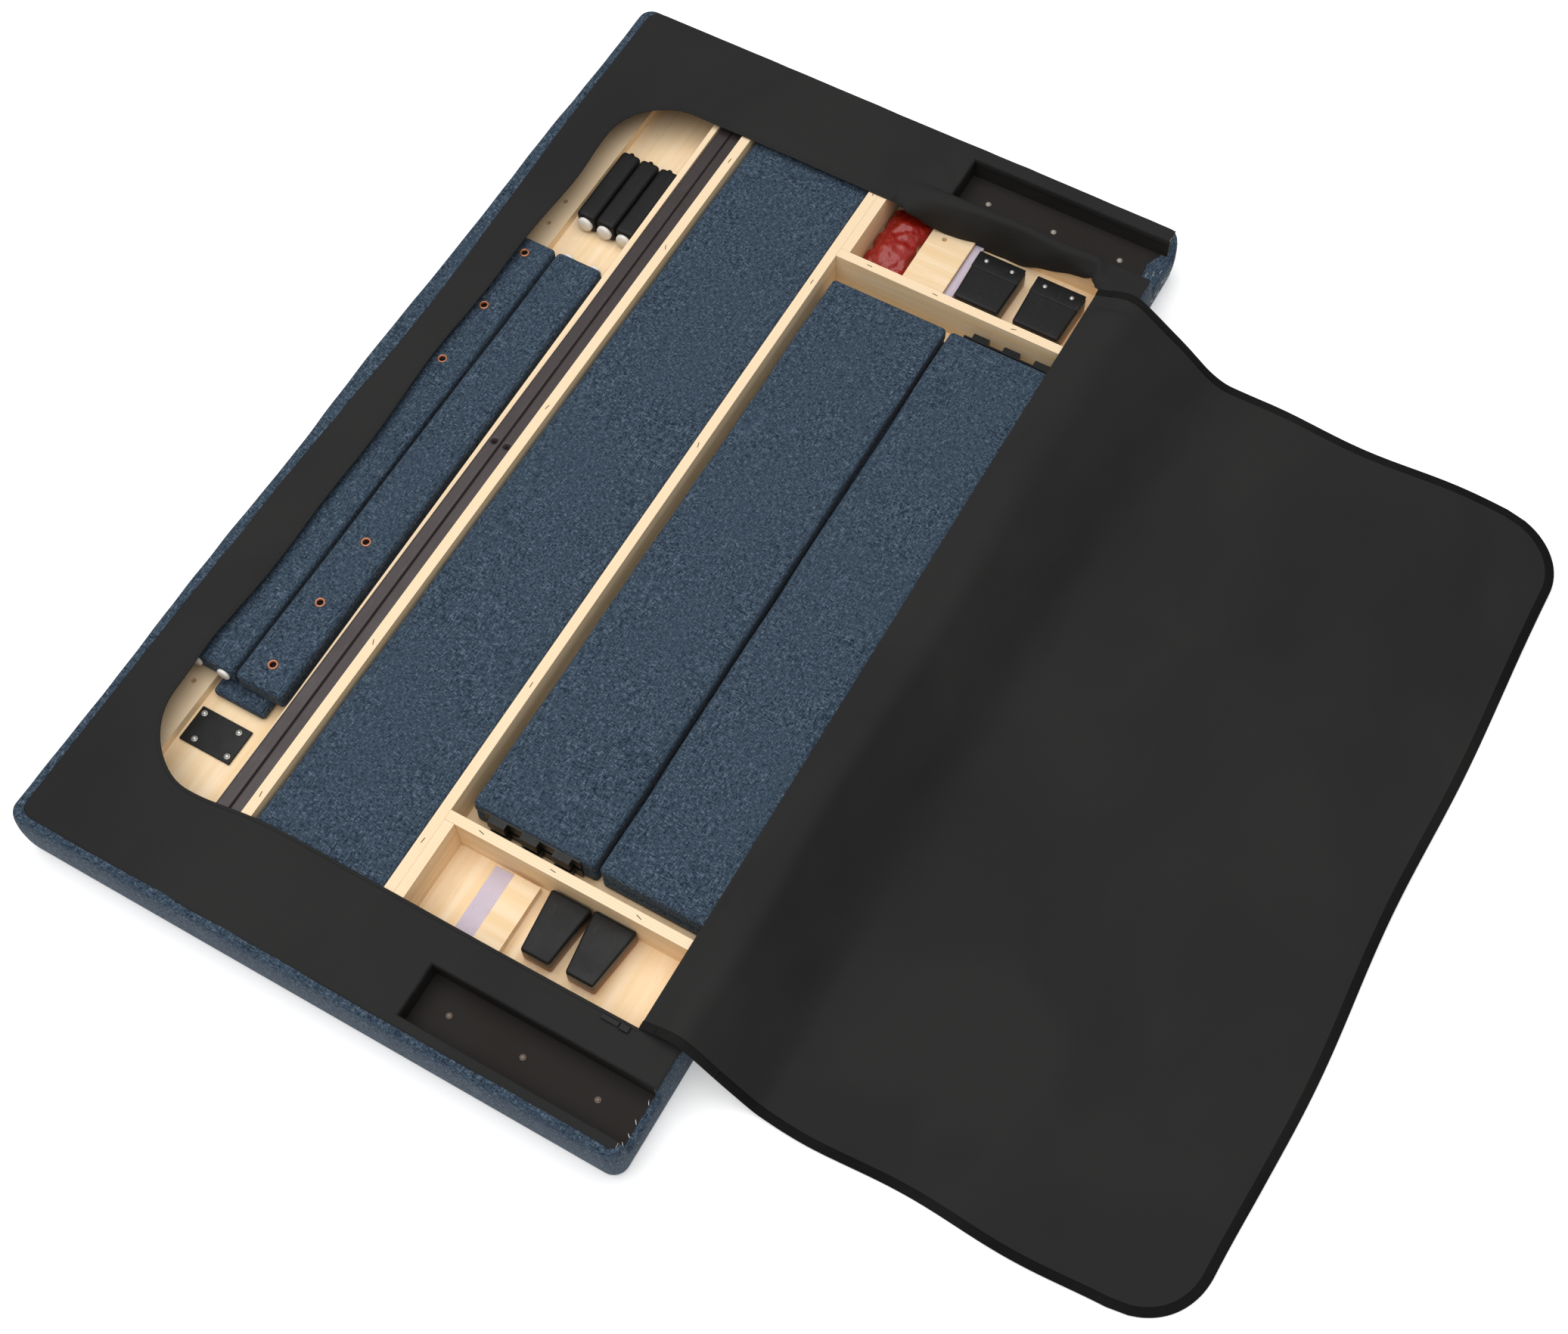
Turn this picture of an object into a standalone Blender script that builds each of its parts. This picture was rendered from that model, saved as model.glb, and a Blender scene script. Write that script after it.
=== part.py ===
"""Upholstered queen headboard, face down, with the bed's parts stored in its hollow back.

Metres, +Z up. The origin is at the middle of the headboard's front face, which rests on
the floor. +X runs across the bed, +Y towards the headboard's top edge.
"""

import math

import bmesh
import bpy
from mathutils import Vector

# ---- driving dimensions -------------------------------------------------------------
WIDTH = 1.600
HEIGHT = 0.922
DEPTH = 0.098
PLY = 0.015
THIN_PLY = 0.009
GAP = 0.0003
BULGE = 0.008
WRAP = 0.004
EDGE_RADIUS = 0.007
FLOOR_Z = 0.030
CUSHION_DEPTH = 0.022

HALF_W = WIDTH / 2
HALF_H = HEIGHT / 2
BORDER_DEPTH = 0.0015
FRAME_TOP = DEPTH - BORDER_DEPTH - GAP

OPENING_HALF_W = 0.650
OPENING_TOP_Y = 0.385
HINGE_Y = -0.408
OPENING_RADIUS = 0.100

RECESS_WIDTH = 0.082
RECESS_LENGTH = 0.328
RECESS_FLOOR_Z = 0.060
RECESS_BOLT_PITCH = 0.111
RECESS_FIRST_BOLT_Y = -0.180
RECESS_BOLT_DIAMETER = 0.008
LINING = 0.001

UPPER_PARTITION_Y = 0.194
THIN_DIVIDER_Y = 0.2505
THIN_DIVIDER_TOPS = (0.060, 0.090)
LOWER_PARTITION_Y = -0.0295
SILL_Y = -0.4175
CROSS_BOARD_X = (-0.5235, 0.5275)

COVER_THICKNESS = 0.002
COVER_RADIUS = 0.100
COVER_CREST = (-0.458, DEPTH + 0.014)
COVER_LANDING_Y = -0.570
COVER_FAR_Y = -1.160
FOLD_GAP = 0.0015

FOOTBOARD_SIZE = (1.480, 0.203, 0.058)
FOOTBOARD_Y = 0.0825
RAIL_BAR_SIZE = (1.480, 0.0205, 0.055)
RAIL_BAR_Y = (0.2135, 0.2345)
RAIL_BAR_WALL = 0.002
SIDE_RAIL_SIZE = (0.981, 0.190, 0.028)
SIDE_RAIL_STACK_Y = (-0.1455, -0.3425)
FOAM_DEPTH = 0.0075
HOOK_PLATE_SIZE = (0.0028, 0.150, 0.020)
HOOK_TAB_SIZE = (0.012, 0.026, 0.003)

LEG_SIZE = (0.824, 0.076, 0.036)
LEG_CENTRES = ((-0.078, 0.3795), (-0.078, 0.2985))
LEG_Z = 0.0505
LEG_BOLT_DIAMETER = 0.009
LEG_FIRST_BOLTS = (0.029, 0.038)
LEG_GLIDE_RADIUS = 0.011
LEG_GLIDE_DEPTH = 0.005

CENTRE_LEG_SIZE = (0.150, 0.0335, 0.036)
CENTRE_LEG_X = 0.490
CENTRE_LEG_Y = (0.2785, 0.3130, 0.3475)

FOOT_LENGTH = 0.092
FOOT_HEIGHT = 0.034

# ---- materials ----------------------------------------------------------------------
FINISHES = {
    "blue_linen": ((0.055, 0.09, 0.14), 0.9, 0.0),
    "black_fabric": ((0.03, 0.03, 0.031), 0.85, 0.0),
    "plywood": ((0.86, 0.70, 0.48), 0.6, 0.0),
    "packing_foam": ((0.60, 0.54, 0.62), 0.8, 0.0),
    "dark_steel": ((0.045, 0.035, 0.033), 0.4, 0.7),
    "black_plastic": ((0.016, 0.016, 0.017), 0.5, 0.0),
    "white_plastic": ((0.75, 0.72, 0.70), 0.4, 0.0),
    "red_bag": ((0.48, 0.02, 0.01), 0.35, 0.0),
    "zip_metal": ((0.12, 0.12, 0.12), 0.35, 0.9),
}


def make_material(finish, part_name):
    """One Principled material for one sub-part."""
    colour, roughness, metallic = FINISHES[finish]
    material = bpy.data.materials.new(part_name + "_" + finish)
    material.use_nodes = True
    shader = material.node_tree.nodes["Principled BSDF"]
    shader.inputs["Base Color"].default_value = (*colour, 1.0)
    shader.inputs["Roughness"].default_value = roughness
    shader.inputs["Metallic"].default_value = metallic
    return material


# ---- shape tools --------------------------------------------------------------------
def clear_scene():
    for item in list(bpy.data.objects):
        bpy.data.objects.remove(item, do_unlink=True)


def add_object(name, shape, finish, origin=(0.0, 0.0, 0.0)):
    """Puts a bmesh drawn in world coordinates into an object whose origin is at origin."""
    bmesh.ops.translate(shape, verts=shape.verts, vec=-Vector(origin))
    bmesh.ops.recalc_face_normals(shape, faces=shape.faces)
    mesh = bpy.data.meshes.new(name)
    shape.to_mesh(mesh)
    shape.free()
    item = bpy.data.objects.new(name, mesh)
    item.location = origin
    bpy.context.scene.collection.objects.link(item)
    if finish:
        mesh.materials.append(make_material(finish, name))
    return item


def box_shape(low, high, edge=0.0, steps=1):
    """A box between two corners, with its edges rounded by edge."""
    shape = bmesh.new()
    bmesh.ops.create_cube(shape, size=1.0)
    size = Vector(high) - Vector(low)
    middle = (Vector(high) + Vector(low)) / 2
    bmesh.ops.scale(shape, verts=shape.verts, vec=size)
    bmesh.ops.translate(shape, verts=shape.verts, vec=middle)
    if edge:
        bmesh.ops.bevel(shape, geom=shape.edges[:], offset=edge, segments=steps,
                        affect="EDGES", profile=0.5)
    return shape


def add_box(name, low, high, finish, edge=0.0, steps=1, origin=None):
    middle = (Vector(high) + Vector(low)) / 2
    return add_object(name, box_shape(low, high, edge, steps), finish, origin or middle)


def rounded_outline(x_range, y_range, radii, steps=8):
    """A rectangle's outline, anticlockwise from its lower right, with an arc at each corner.

    radii are for the lower right, upper right, upper left and lower left corners.
    """
    corners = (
        (x_range[1], y_range[0], -90),
        (x_range[1], y_range[1], 0),
        (x_range[0], y_range[1], 90),
        (x_range[0], y_range[0], 180),
    )
    inward = ((-1, 1), (-1, -1), (1, -1), (1, 1))
    points = []
    for (x, y, start), (side_x, side_y), radius in zip(corners, inward, radii):
        if radius == 0:
            points.append((x, y))
            continue
        for step in range(steps + 1):
            angle = math.radians(start + 90 * step / steps)
            points.append((x + side_x * radius + radius * math.cos(angle),
                           y + side_y * radius + radius * math.sin(angle)))
    return points


def lofted_shape(loops):
    """Closed solid through loops of points that all have the same count, with flat ends."""
    shape = bmesh.new()
    rings = [[shape.verts.new(point) for point in loop] for loop in loops]
    shape.faces.new(rings[0])
    shape.faces.new(rings[-1])
    for lower, upper in zip(rings, rings[1:]):
        for index in range(len(lower)):
            following = (index + 1) % len(lower)
            shape.faces.new((lower[index], lower[following], upper[following], upper[index]))
    return shape


def prism_shape(outline, z_low, z_high):
    """An XY outline carried from z_low to z_high."""
    return lofted_shape([[(x, y, z) for x, y in outline] for z in (z_low, z_high)])


def cut(item, shape):
    """Takes a bmesh drawn in world coordinates out of an object."""
    tool = add_object(item.name + "_cutter", shape, None)
    tool.hide_render = True
    tool.display_type = "WIRE"
    modifier = item.modifiers.new("cut", "BOOLEAN")
    modifier.operation = "DIFFERENCE"
    modifier.solver = "EXACT"
    modifier.object = tool


def drill_shape(x, y, z_low, z_high, diameter, sides=12):
    """A round cutter that stands upright."""
    radius = diameter / 2
    turns = [math.tau * side / sides for side in range(sides)]
    outline = [(x + radius * math.cos(turn), y + radius * math.sin(turn)) for turn in turns]
    return prism_shape(outline, z_low, z_high)


# ---- headboard ----------------------------------------------------------------------
RECESS_OUTER_X = HALF_W - PLY
RECESS_INNER_X = RECESS_OUTER_X - RECESS_WIDTH
RECESS_TOP_Y = -HALF_H + RECESS_LENGTH
SILL_LOW_Y = SILL_Y - PLY / 2
INNER_X = HALF_W - PLY - GAP
DROOP_X = RECESS_INNER_X - PLY
DROOP_Y = (-0.400, -0.060)


def side_range(side, near, far):
    """X range of something on one side of the middle; side is -1 or 1."""
    return (near, far) if side > 0 else (-far, -near)


def make_cushion():
    """The padded front, rounded over its edges."""
    steps = ((0.016, 0.0), (0.007, 0.002), (0.002, 0.007), (0.0, 0.014), (0.001, CUSHION_DEPTH))
    loops = []
    for inset, z in steps:
        half_x = HALF_W + BULGE - inset
        half_y = HALF_H + BULGE - inset
        radius = 0.030 - inset
        outline = rounded_outline((-half_x, half_x), (-half_y, half_y), [radius] * 4, 5)
        loops.append([(x, y, z) for x, y in outline])
    add_object("front_cushion", lofted_shape(loops), "blue_linen")


def make_edge_wrap():
    """The linen round the four edges, open where the two leg recesses come out."""
    z_range = (CUSHION_DEPTH + GAP, FRAME_TOP)
    half_x = HALF_W + WRAP
    half_y = HALF_H + WRAP
    outer = rounded_outline((-half_x, half_x), (-half_y, half_y), [EDGE_RADIUS] * 4, 3)
    wrap = add_object("edge_wrap", prism_shape(outer, *z_range), "blue_linen")
    inside = rounded_outline((-HALF_W - GAP, HALF_W + GAP), (-HALF_H - GAP, HALF_H + GAP),
                             [0.0] * 4)
    cut(wrap, prism_shape(inside, 0.0, DEPTH + PLY))
    for side in (-1, 1):
        x_low, x_high = side_range(side, RECESS_INNER_X, RECESS_OUTER_X)
        cut(wrap, box_shape((x_low, -half_y - PLY, RECESS_FLOOR_Z), (x_high, -HALF_H + PLY, DEPTH)))


def make_frame():
    add_box("front_panel", (-HALF_W, -HALF_H, CUSHION_DEPTH + GAP), (HALF_W, HALF_H, FLOOR_Z),
            "plywood")
    z_low = FLOOR_Z + GAP
    for side, word in ((-1, "left"), (1, "right")):
        x_low, x_high = side_range(side, HALF_W - PLY, HALF_W)
        add_box("frame_" + word, (x_low, -HALF_H, z_low), (x_high, HALF_H, FRAME_TOP), "plywood")
    add_box("frame_top", (-INNER_X, HALF_H - PLY, z_low), (INNER_X, HALF_H, FRAME_TOP), "plywood")
    end_x = RECESS_INNER_X - PLY - GAP
    add_box("frame_bottom", (-end_x, -HALF_H, z_low), (end_x, -HALF_H + PLY, FRAME_TOP), "plywood")
    for cross_x, side, word in zip(CROSS_BOARD_X, (-1, 1), ("left", "right")):
        x_low, x_high = side_range(side, abs(cross_x) + PLY / 2 + GAP, end_x)
        add_box("sill_board_" + word, (x_low, SILL_LOW_Y, z_low), (x_high, SILL_LOW_Y + PLY, FRAME_TOP),
                "plywood")


def make_recess(side, word):
    """A leg's socket: an L-shaped wall, a bored block and its black lining."""
    z_low = FLOOR_Z + GAP
    wall_outer_x = side * (RECESS_INNER_X - PLY)
    wall_inner_x = side * RECESS_INNER_X
    end_x = side * (RECESS_OUTER_X - GAP)
    wall_top_y = RECESS_TOP_Y + PLY
    wall_outline = ((wall_outer_x, -HALF_H), (wall_inner_x, -HALF_H), (wall_inner_x, RECESS_TOP_Y),
                    (end_x, RECESS_TOP_Y), (end_x, wall_top_y), (wall_outer_x, wall_top_y))
    add_object("recess_wall_" + word, prism_shape(wall_outline, z_low, FRAME_TOP), "plywood")
    hollow_x = side_range(side, RECESS_INNER_X + GAP, RECESS_OUTER_X - GAP)
    block_top = RECESS_FLOOR_Z - LINING - GAP
    block = add_box("recess_block_" + word, (hollow_x[0], -HALF_H, z_low),
                    (hollow_x[1], RECESS_TOP_Y - GAP, block_top), "plywood")
    lining_low = (hollow_x[0], -HALF_H, RECESS_FLOOR_Z - LINING)
    lining_high = (hollow_x[1], RECESS_TOP_Y - GAP, FRAME_TOP)
    lining = add_box("recess_lining_" + word, lining_low, lining_high, "black_fabric")
    cut(lining, box_shape((hollow_x[0] + LINING, -HALF_H - PLY, RECESS_FLOOR_Z),
                          (hollow_x[1] - LINING, RECESS_TOP_Y - GAP - LINING, DEPTH)))
    bolt_x = (hollow_x[0] + hollow_x[1]) / 2
    for count in range(3):
        bolt_y = RECESS_FIRST_BOLT_Y - RECESS_BOLT_PITCH * count
        for item in (block, lining):
            cut(item, drill_shape(bolt_x, bolt_y, z_low + PLY / 2, DEPTH, RECESS_BOLT_DIAMETER))


def make_partitions():
    z_low = FLOOR_Z + GAP
    upper_low = UPPER_PARTITION_Y - PLY / 2
    add_box("upper_partition", (-INNER_X, upper_low, z_low), (INNER_X, upper_low + PLY, FRAME_TOP),
            "plywood")
    near_y, far_y = THIN_DIVIDER_Y - THIN_PLY / 2, THIN_DIVIDER_Y + THIN_PLY / 2
    ends = [
        [(x, near_y, z_low), (x, far_y, z_low), (x, far_y, z_top), (x, near_y, z_top)]
        for x, z_top in zip((-INNER_X, INNER_X), THIN_DIVIDER_TOPS)
    ]
    add_object("thin_divider", lofted_shape(ends), "plywood")
    lower_low = LOWER_PARTITION_Y - PLY / 2
    add_box("lower_partition", (-INNER_X, lower_low, z_low), (INNER_X, lower_low + PLY, FRAME_TOP),
            "plywood")
    for cross_x, side, word in zip(CROSS_BOARD_X, (-1, 1), ("left", "right")):
        add_box("cross_board_" + word, (cross_x - PLY / 2, -HALF_H + PLY + GAP, z_low),
                (cross_x + PLY / 2, lower_low - GAP, FRAME_TOP), "plywood")
        near = abs(cross_x) + PLY / 2 + GAP
        x_low, x_high = side_range(side, near, INNER_X)
        add_box("doubler_" + word, (x_low, lower_low - GAP - PLY, z_low),
                (x_high, lower_low - GAP, FRAME_TOP), "plywood")
    ledge_low_y = 0.376
    ledge = add_box("top_ledge", (-INNER_X, ledge_low_y, z_low),
                    (INNER_X, HALF_H - PLY - GAP, z_low + PLY), "plywood")
    for hole_x in (-0.513, 0.396, 0.444):
        cut(ledge, drill_shape(hole_x, 0.400, z_low + PLY / 3, DEPTH, RECESS_BOLT_DIAMETER))


def make_end_compartments():
    """A batten and a strip of packing foam on the floor of each end compartment."""
    z_low = FLOOR_Z + GAP
    rows = (
        ("left", -1, (-0.183, -0.143), (-0.1425, -0.112)),
        ("right", 1, (-0.192, -0.124), (-0.206, -0.1925)),
    )
    for word, side, batten_y, foam_y in rows:
        x_low, x_high = side_range(side, abs(CROSS_BOARD_X[0]) + 0.013, DROOP_X - GAP)
        batten = add_box("batten_" + word, (x_low, batten_y[0], z_low),
                         (x_high, batten_y[1], z_low + PLY), "plywood")
        add_box("foam_strip_" + word, (x_low, foam_y[0], z_low),
                (x_high, foam_y[1], z_low + FOAM_DEPTH), "packing_foam")
        if side > 0:
            cut(batten, drill_shape(0.662, -0.148, z_low + PLY / 3, DEPTH, RECESS_BOLT_DIAMETER))


def make_back_border():
    """The black back fabric round the opening; it sags open beside the right end compartment."""
    z_range = (DEPTH - BORDER_DEPTH, DEPTH)
    half_x = HALF_W + WRAP
    half_y = HALF_H + WRAP
    outer = rounded_outline((-half_x, half_x), (-half_y, half_y), [EDGE_RADIUS] * 4, 3)
    border = add_object("back_border", prism_shape(outer, *z_range), "black_fabric")
    radii = (0.0, OPENING_RADIUS, OPENING_RADIUS, 0.0)
    opening = rounded_outline((-OPENING_HALF_W, OPENING_HALF_W), (HINGE_Y, OPENING_TOP_Y), radii)
    cut(border, prism_shape(opening, FLOOR_Z, DEPTH + PLY))
    cut(border, box_shape((OPENING_HALF_W - PLY, DROOP_Y[0], FLOOR_Z),
                          (DROOP_X, DROOP_Y[1], DEPTH + PLY)))
    for side in (-1, 1):
        x_low, x_high = side_range(side, RECESS_INNER_X, RECESS_OUTER_X)
        cut(border, box_shape((x_low, -half_y - PLY, FLOOR_Z), (x_high, RECESS_TOP_Y, DEPTH + PLY)))


# ---- zipped cover -------------------------------------------------------------------
COVER_Z = COVER_THICKNESS / 2 + 0.0005
HINGE_POINT = (HINGE_Y, DEPTH + COVER_Z)
LANDING_POINT = (COVER_LANDING_Y, COVER_Z)


def plate_shape(start, end, half_width):
    """A strip of cloth between two (y, z) points, cut short at both for the folds."""
    along = Vector(end) - Vector(start)
    along.normalize()
    side = Vector((-along.y, along.x)) * COVER_THICKNESS / 2
    near = Vector(start) + along * FOLD_GAP
    far = Vector(end) - along * FOLD_GAP
    section = (near - side, far - side, far + side, near + side)
    loops = [[(x, point.x, point.y) for point in section] for x in (-half_width, half_width)]
    return lofted_shape(loops)


def make_cover():
    """The black zipped cover, opened right over: hem, slope and the field on the floor."""
    half_width = OPENING_HALF_W
    hem_origin = (0.0, *HINGE_POINT)
    slope_origin = (0.0, *COVER_CREST)
    field_origin = (0.0, *LANDING_POINT)
    add_object("cover_hem", plate_shape(HINGE_POINT, COVER_CREST, half_width), "black_fabric",
               hem_origin)
    add_object("cover_slope", plate_shape(COVER_CREST, LANDING_POINT, half_width), "black_fabric",
               slope_origin)
    outline = rounded_outline((-half_width, half_width),
                              (COVER_FAR_Y, COVER_LANDING_Y - FOLD_GAP),
                              (COVER_RADIUS, 0.0, 0.0, COVER_RADIUS))
    z_low = COVER_Z - COVER_THICKNESS / 2
    add_object("cover_field", prism_shape(outline, z_low, z_low + COVER_THICKNESS),
               "black_fabric", field_origin)


def make_zip():
    """Slider parked at the start of the left side, with its pull tab lying flat."""
    x = -OPENING_HALF_W - 0.0085
    y = HINGE_Y + 0.016
    z = DEPTH + GAP
    add_box("zip_slider", (x - 0.005, y - 0.007, z), (x + 0.005, y + 0.007, z + 0.0035),
            "zip_metal", edge=0.0009)
    pivot = (x, y + 0.0085, z + 0.0018)
    add_box("zip_pull", (x - 0.0035, y + 0.0082, z + 0.0006), (x + 0.0035, y + 0.034, z + 0.0028),
            "zip_metal", edge=0.0006, origin=pivot)


# ---- stored parts -------------------------------------------------------------------
def make_footboard():
    length, width, depth = FOOTBOARD_SIZE
    low = (-length / 2, FOOTBOARD_Y - width / 2, FLOOR_Z + GAP)
    high = (length / 2, FOOTBOARD_Y + width / 2, FLOOR_Z + GAP + depth)
    add_box("footboard", low, high, "blue_linen", edge=0.007, steps=2)


def make_rail_bars():
    """Two rectangular steel tubes for the middle of the bed, with a bolt hole half way."""
    length, width, depth = RAIL_BAR_SIZE
    z_low = FLOOR_Z + GAP
    for number, y in enumerate(RAIL_BAR_Y, start=1):
        low = (-length / 2, y - width / 2, z_low)
        high = (length / 2, y + width / 2, z_low + depth)
        bar = add_box("rail_bar_%d" % number, low, high, "dark_steel")
        wall = Vector((0.0, RAIL_BAR_WALL, RAIL_BAR_WALL))
        over = Vector((PLY, 0.0, 0.0))
        cut(bar, box_shape(Vector(low) + wall - over, Vector(high) - wall + over))
        cut(bar, drill_shape(0.0, y, z_low + depth / 2, DEPTH, RECESS_BOLT_DIAMETER))


def hook_plate_shape(x, y, z, side):
    """An upright plate on a rail's end, with three hooks pointing outwards."""
    depth, width, height = HOOK_PLATE_SIZE
    reach, tab_width, tab_height = HOOK_TAB_SIZE
    pitch = width / 3
    edge_y = [y - width / 2, y + width / 2]
    for count in range(3):
        middle = y + (count - 1) * pitch
        edge_y += [middle - tab_width / 2, middle + tab_width / 2]
    edge_y.sort()
    outline = [(x, edge_y[0])]
    for count in range(3):
        tab_low = edge_y[1 + 2 * count]
        tab_high = edge_y[2 + 2 * count]
        outline += [(x + side * depth, tab_low), (x + side * reach, tab_low),
                    (x + side * reach, tab_high), (x + side * depth, tab_high)]
    outline.insert(1, (x + side * depth, edge_y[0]))
    outline += [(x + side * depth, edge_y[-1]), (x, edge_y[-1])]
    return prism_shape(outline, z - height / 2, z + height / 2)


def make_side_rails():
    """Two stacks of two half side rails; each rail has a hook plate on one end.

    The second stack reaches under the cover's hem, so its rails tip up on their outer edges.
    """
    length, width, depth = SIDE_RAIL_SIZE
    for stack, y in enumerate(SIDE_RAIL_STACK_Y, start=1):
        hook_side = -1 if stack == 1 else 1
        for layer, word in enumerate(("lower", "upper")):
            z_low = FLOOR_Z + GAP + layer * (depth + GAP)
            low = (-length / 2, y - width / 2, z_low)
            high = (length / 2, y + width / 2, z_low + depth)
            tip_axis = (0.0, low[1], high[2]) if stack == 2 else None
            add_box("side_rail_%d_%s" % (stack, word), low, high, "blue_linen", edge=0.005,
                    steps=2, origin=tip_axis)
            plate_x = hook_side * (length / 2 + GAP)
            middle = (plate_x, y, z_low + depth / 2)
            add_object("hook_plate_%d_%s" % (stack, word), hook_plate_shape(*middle, hook_side),
                       "dark_steel", tip_axis or middle)


def make_headboard_legs():
    """Two linen-wrapped legs side by side, turned end for end, each with two glides."""
    length, width, depth = LEG_SIZE
    for number, (x, y) in enumerate(LEG_CENTRES, start=1):
        low = (x - length / 2, y - width / 2, LEG_Z)
        high = (x + length / 2, y + width / 2, LEG_Z + depth)
        leg = add_box("headboard_leg_%d" % number, low, high, "blue_linen", edge=0.004, steps=2)
        foot_side = -1 if number == 1 else 1
        first_hole = x - foot_side * (length / 2 - LEG_FIRST_BOLTS[number - 1])
        for count in range(3):
            hole_x = first_hole + foot_side * RECESS_BOLT_PITCH * count
            cut(leg, drill_shape(hole_x, y, LEG_Z + depth / 2, DEPTH, LEG_BOLT_DIAMETER))
        end_x = x + foot_side * (length / 2 + GAP)
        far_x = end_x + foot_side * LEG_GLIDE_DEPTH
        for offset, word in ((-0.023, "a"), (0.023, "b")):
            low = (min(end_x, far_x), y + offset - LEG_GLIDE_RADIUS, LEG_Z + 0.010)
            high = (max(end_x, far_x), y + offset + LEG_GLIDE_RADIUS, LEG_Z + 0.030)
            add_box("leg_glide_%d%s" % (number, word), low, high, "white_plastic", edge=0.002)
    add_box("lower_panel", (-0.512, 0.283, FLOOR_Z + GAP), (0.330, 0.369, LEG_Z - GAP),
            "blue_linen", edge=0.005, steps=2)


def make_centre_legs():
    length, width, depth = CENTRE_LEG_SIZE
    for number, y in enumerate(CENTRE_LEG_Y, start=1):
        low = (CENTRE_LEG_X - length / 2, y - width / 2, FLOOR_Z + GAP)
        high = (CENTRE_LEG_X + length / 2, y + width / 2, FLOOR_Z + GAP + depth)
        add_box("centre_leg_%d" % number, low, high, "black_plastic", edge=0.002)


def make_bracket_plate():
    low = (-0.590, 0.287, FLOOR_Z + GAP)
    high = (-0.534, 0.371, FLOOR_Z + GAP + 0.004)
    add_box("bracket_plate", low, high, "dark_steel", edge=0.001)


def make_feet():
    """Four tapered feet lying on their sides; the mounting end is the wider one."""
    z_low = FLOOR_Z + GAP
    rows = (
        ("foot_1", (0.610, -0.250), (0.080, 0.074), 1),
        ("foot_2", (0.610, -0.349), (0.083, 0.076), 1),
        ("foot_3", (-0.580, -0.232), (0.062, 0.044), 1),
        ("foot_4", (-0.578, -0.298), (0.066, 0.042), 1),
    )
    for name, (x, y), (wide, narrow), side in rows:
        near = x - side * FOOT_LENGTH / 2
        far = x + side * FOOT_LENGTH / 2
        outline = ((near, y - narrow / 2), (far, y - wide / 2), (far, y + wide / 2),
                   (near, y + narrow / 2))
        shape = prism_shape(outline, z_low, z_low + FOOT_HEIGHT)
        bmesh.ops.bevel(shape, geom=shape.edges[:], offset=0.002, segments=1, affect="EDGES")
        add_object(name, shape, "black_plastic", (x, y, z_low))


def make_hardware_bag():
    add_box("hardware_bag", (0.562, -0.121, FLOOR_Z + GAP), (0.686, -0.054, 0.052), "red_bag",
            edge=0.006, steps=2)


def main():
    clear_scene()
    make_cushion()
    make_edge_wrap()
    make_frame()
    for side, word in ((-1, "left"), (1, "right")):
        make_recess(side, word)
    make_partitions()
    make_end_compartments()
    make_back_border()
    make_cover()
    make_zip()
    make_footboard()
    make_rail_bars()
    make_side_rails()
    make_headboard_legs()
    make_centre_legs()
    make_bracket_plate()
    make_feet()
    make_hardware_bag()


main()
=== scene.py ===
"""Upholstered queen headboard lying face down, its zipped back cover
folded open over the parts stored inside it."""

import math

import bpy
import numpy as np
from bpy.props import FloatProperty, FloatVectorProperty, PointerProperty
from mathutils import Matrix, Vector


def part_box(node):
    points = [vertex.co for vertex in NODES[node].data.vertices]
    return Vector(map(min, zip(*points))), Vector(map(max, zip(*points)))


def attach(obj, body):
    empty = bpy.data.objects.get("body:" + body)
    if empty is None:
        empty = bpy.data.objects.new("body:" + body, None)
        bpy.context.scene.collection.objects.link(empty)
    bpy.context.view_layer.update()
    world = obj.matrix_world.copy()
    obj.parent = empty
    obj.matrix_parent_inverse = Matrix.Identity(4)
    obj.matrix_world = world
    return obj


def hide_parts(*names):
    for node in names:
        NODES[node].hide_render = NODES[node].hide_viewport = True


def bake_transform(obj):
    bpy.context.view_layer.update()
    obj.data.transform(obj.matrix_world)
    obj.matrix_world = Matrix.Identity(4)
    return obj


bl_info = {
    "name": "Storage Headboard",
    "version": (1, 0, 0),
    "blender": (4, 5, 0),
    "location": "View3D > Sidebar > Headboard",
    "description": "Cloth, padding, wood and hardware of a headboard that stores its own bed parts",
    "category": "Object",
}

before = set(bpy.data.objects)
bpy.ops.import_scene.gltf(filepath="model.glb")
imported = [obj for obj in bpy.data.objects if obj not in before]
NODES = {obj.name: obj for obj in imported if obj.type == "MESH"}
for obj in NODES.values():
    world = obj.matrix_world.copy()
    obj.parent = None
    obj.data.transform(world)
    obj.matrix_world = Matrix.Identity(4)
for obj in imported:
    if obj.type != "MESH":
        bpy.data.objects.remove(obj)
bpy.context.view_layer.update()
MM = 0.001
RNG_SEED = 71


# ---------------------------------------------------------------- settings


def linear(red, green, blue):
    """Linear colour of an 8-bit sRGB colour: the display curve undone channel by channel."""
    c = np.array([red, green, blue]) / 255.0
    c = np.where(c <= 0.04045, c / 12.92, ((c + 0.055) / 1.055) ** 2.4)
    return (float(c[0]), float(c[1]), float(c[2]), 1.0)


def colour(name, text, rgb):
    return FloatVectorProperty(name=name, description=text, default=linear(*rgb), size=4, min=0.0, max=1.0,
        subtype="COLOR")


def length(name, text, value):
    return FloatProperty(name=name, description=text, default=value, min=0.0, unit="LENGTH",
        subtype="DISTANCE")


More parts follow.
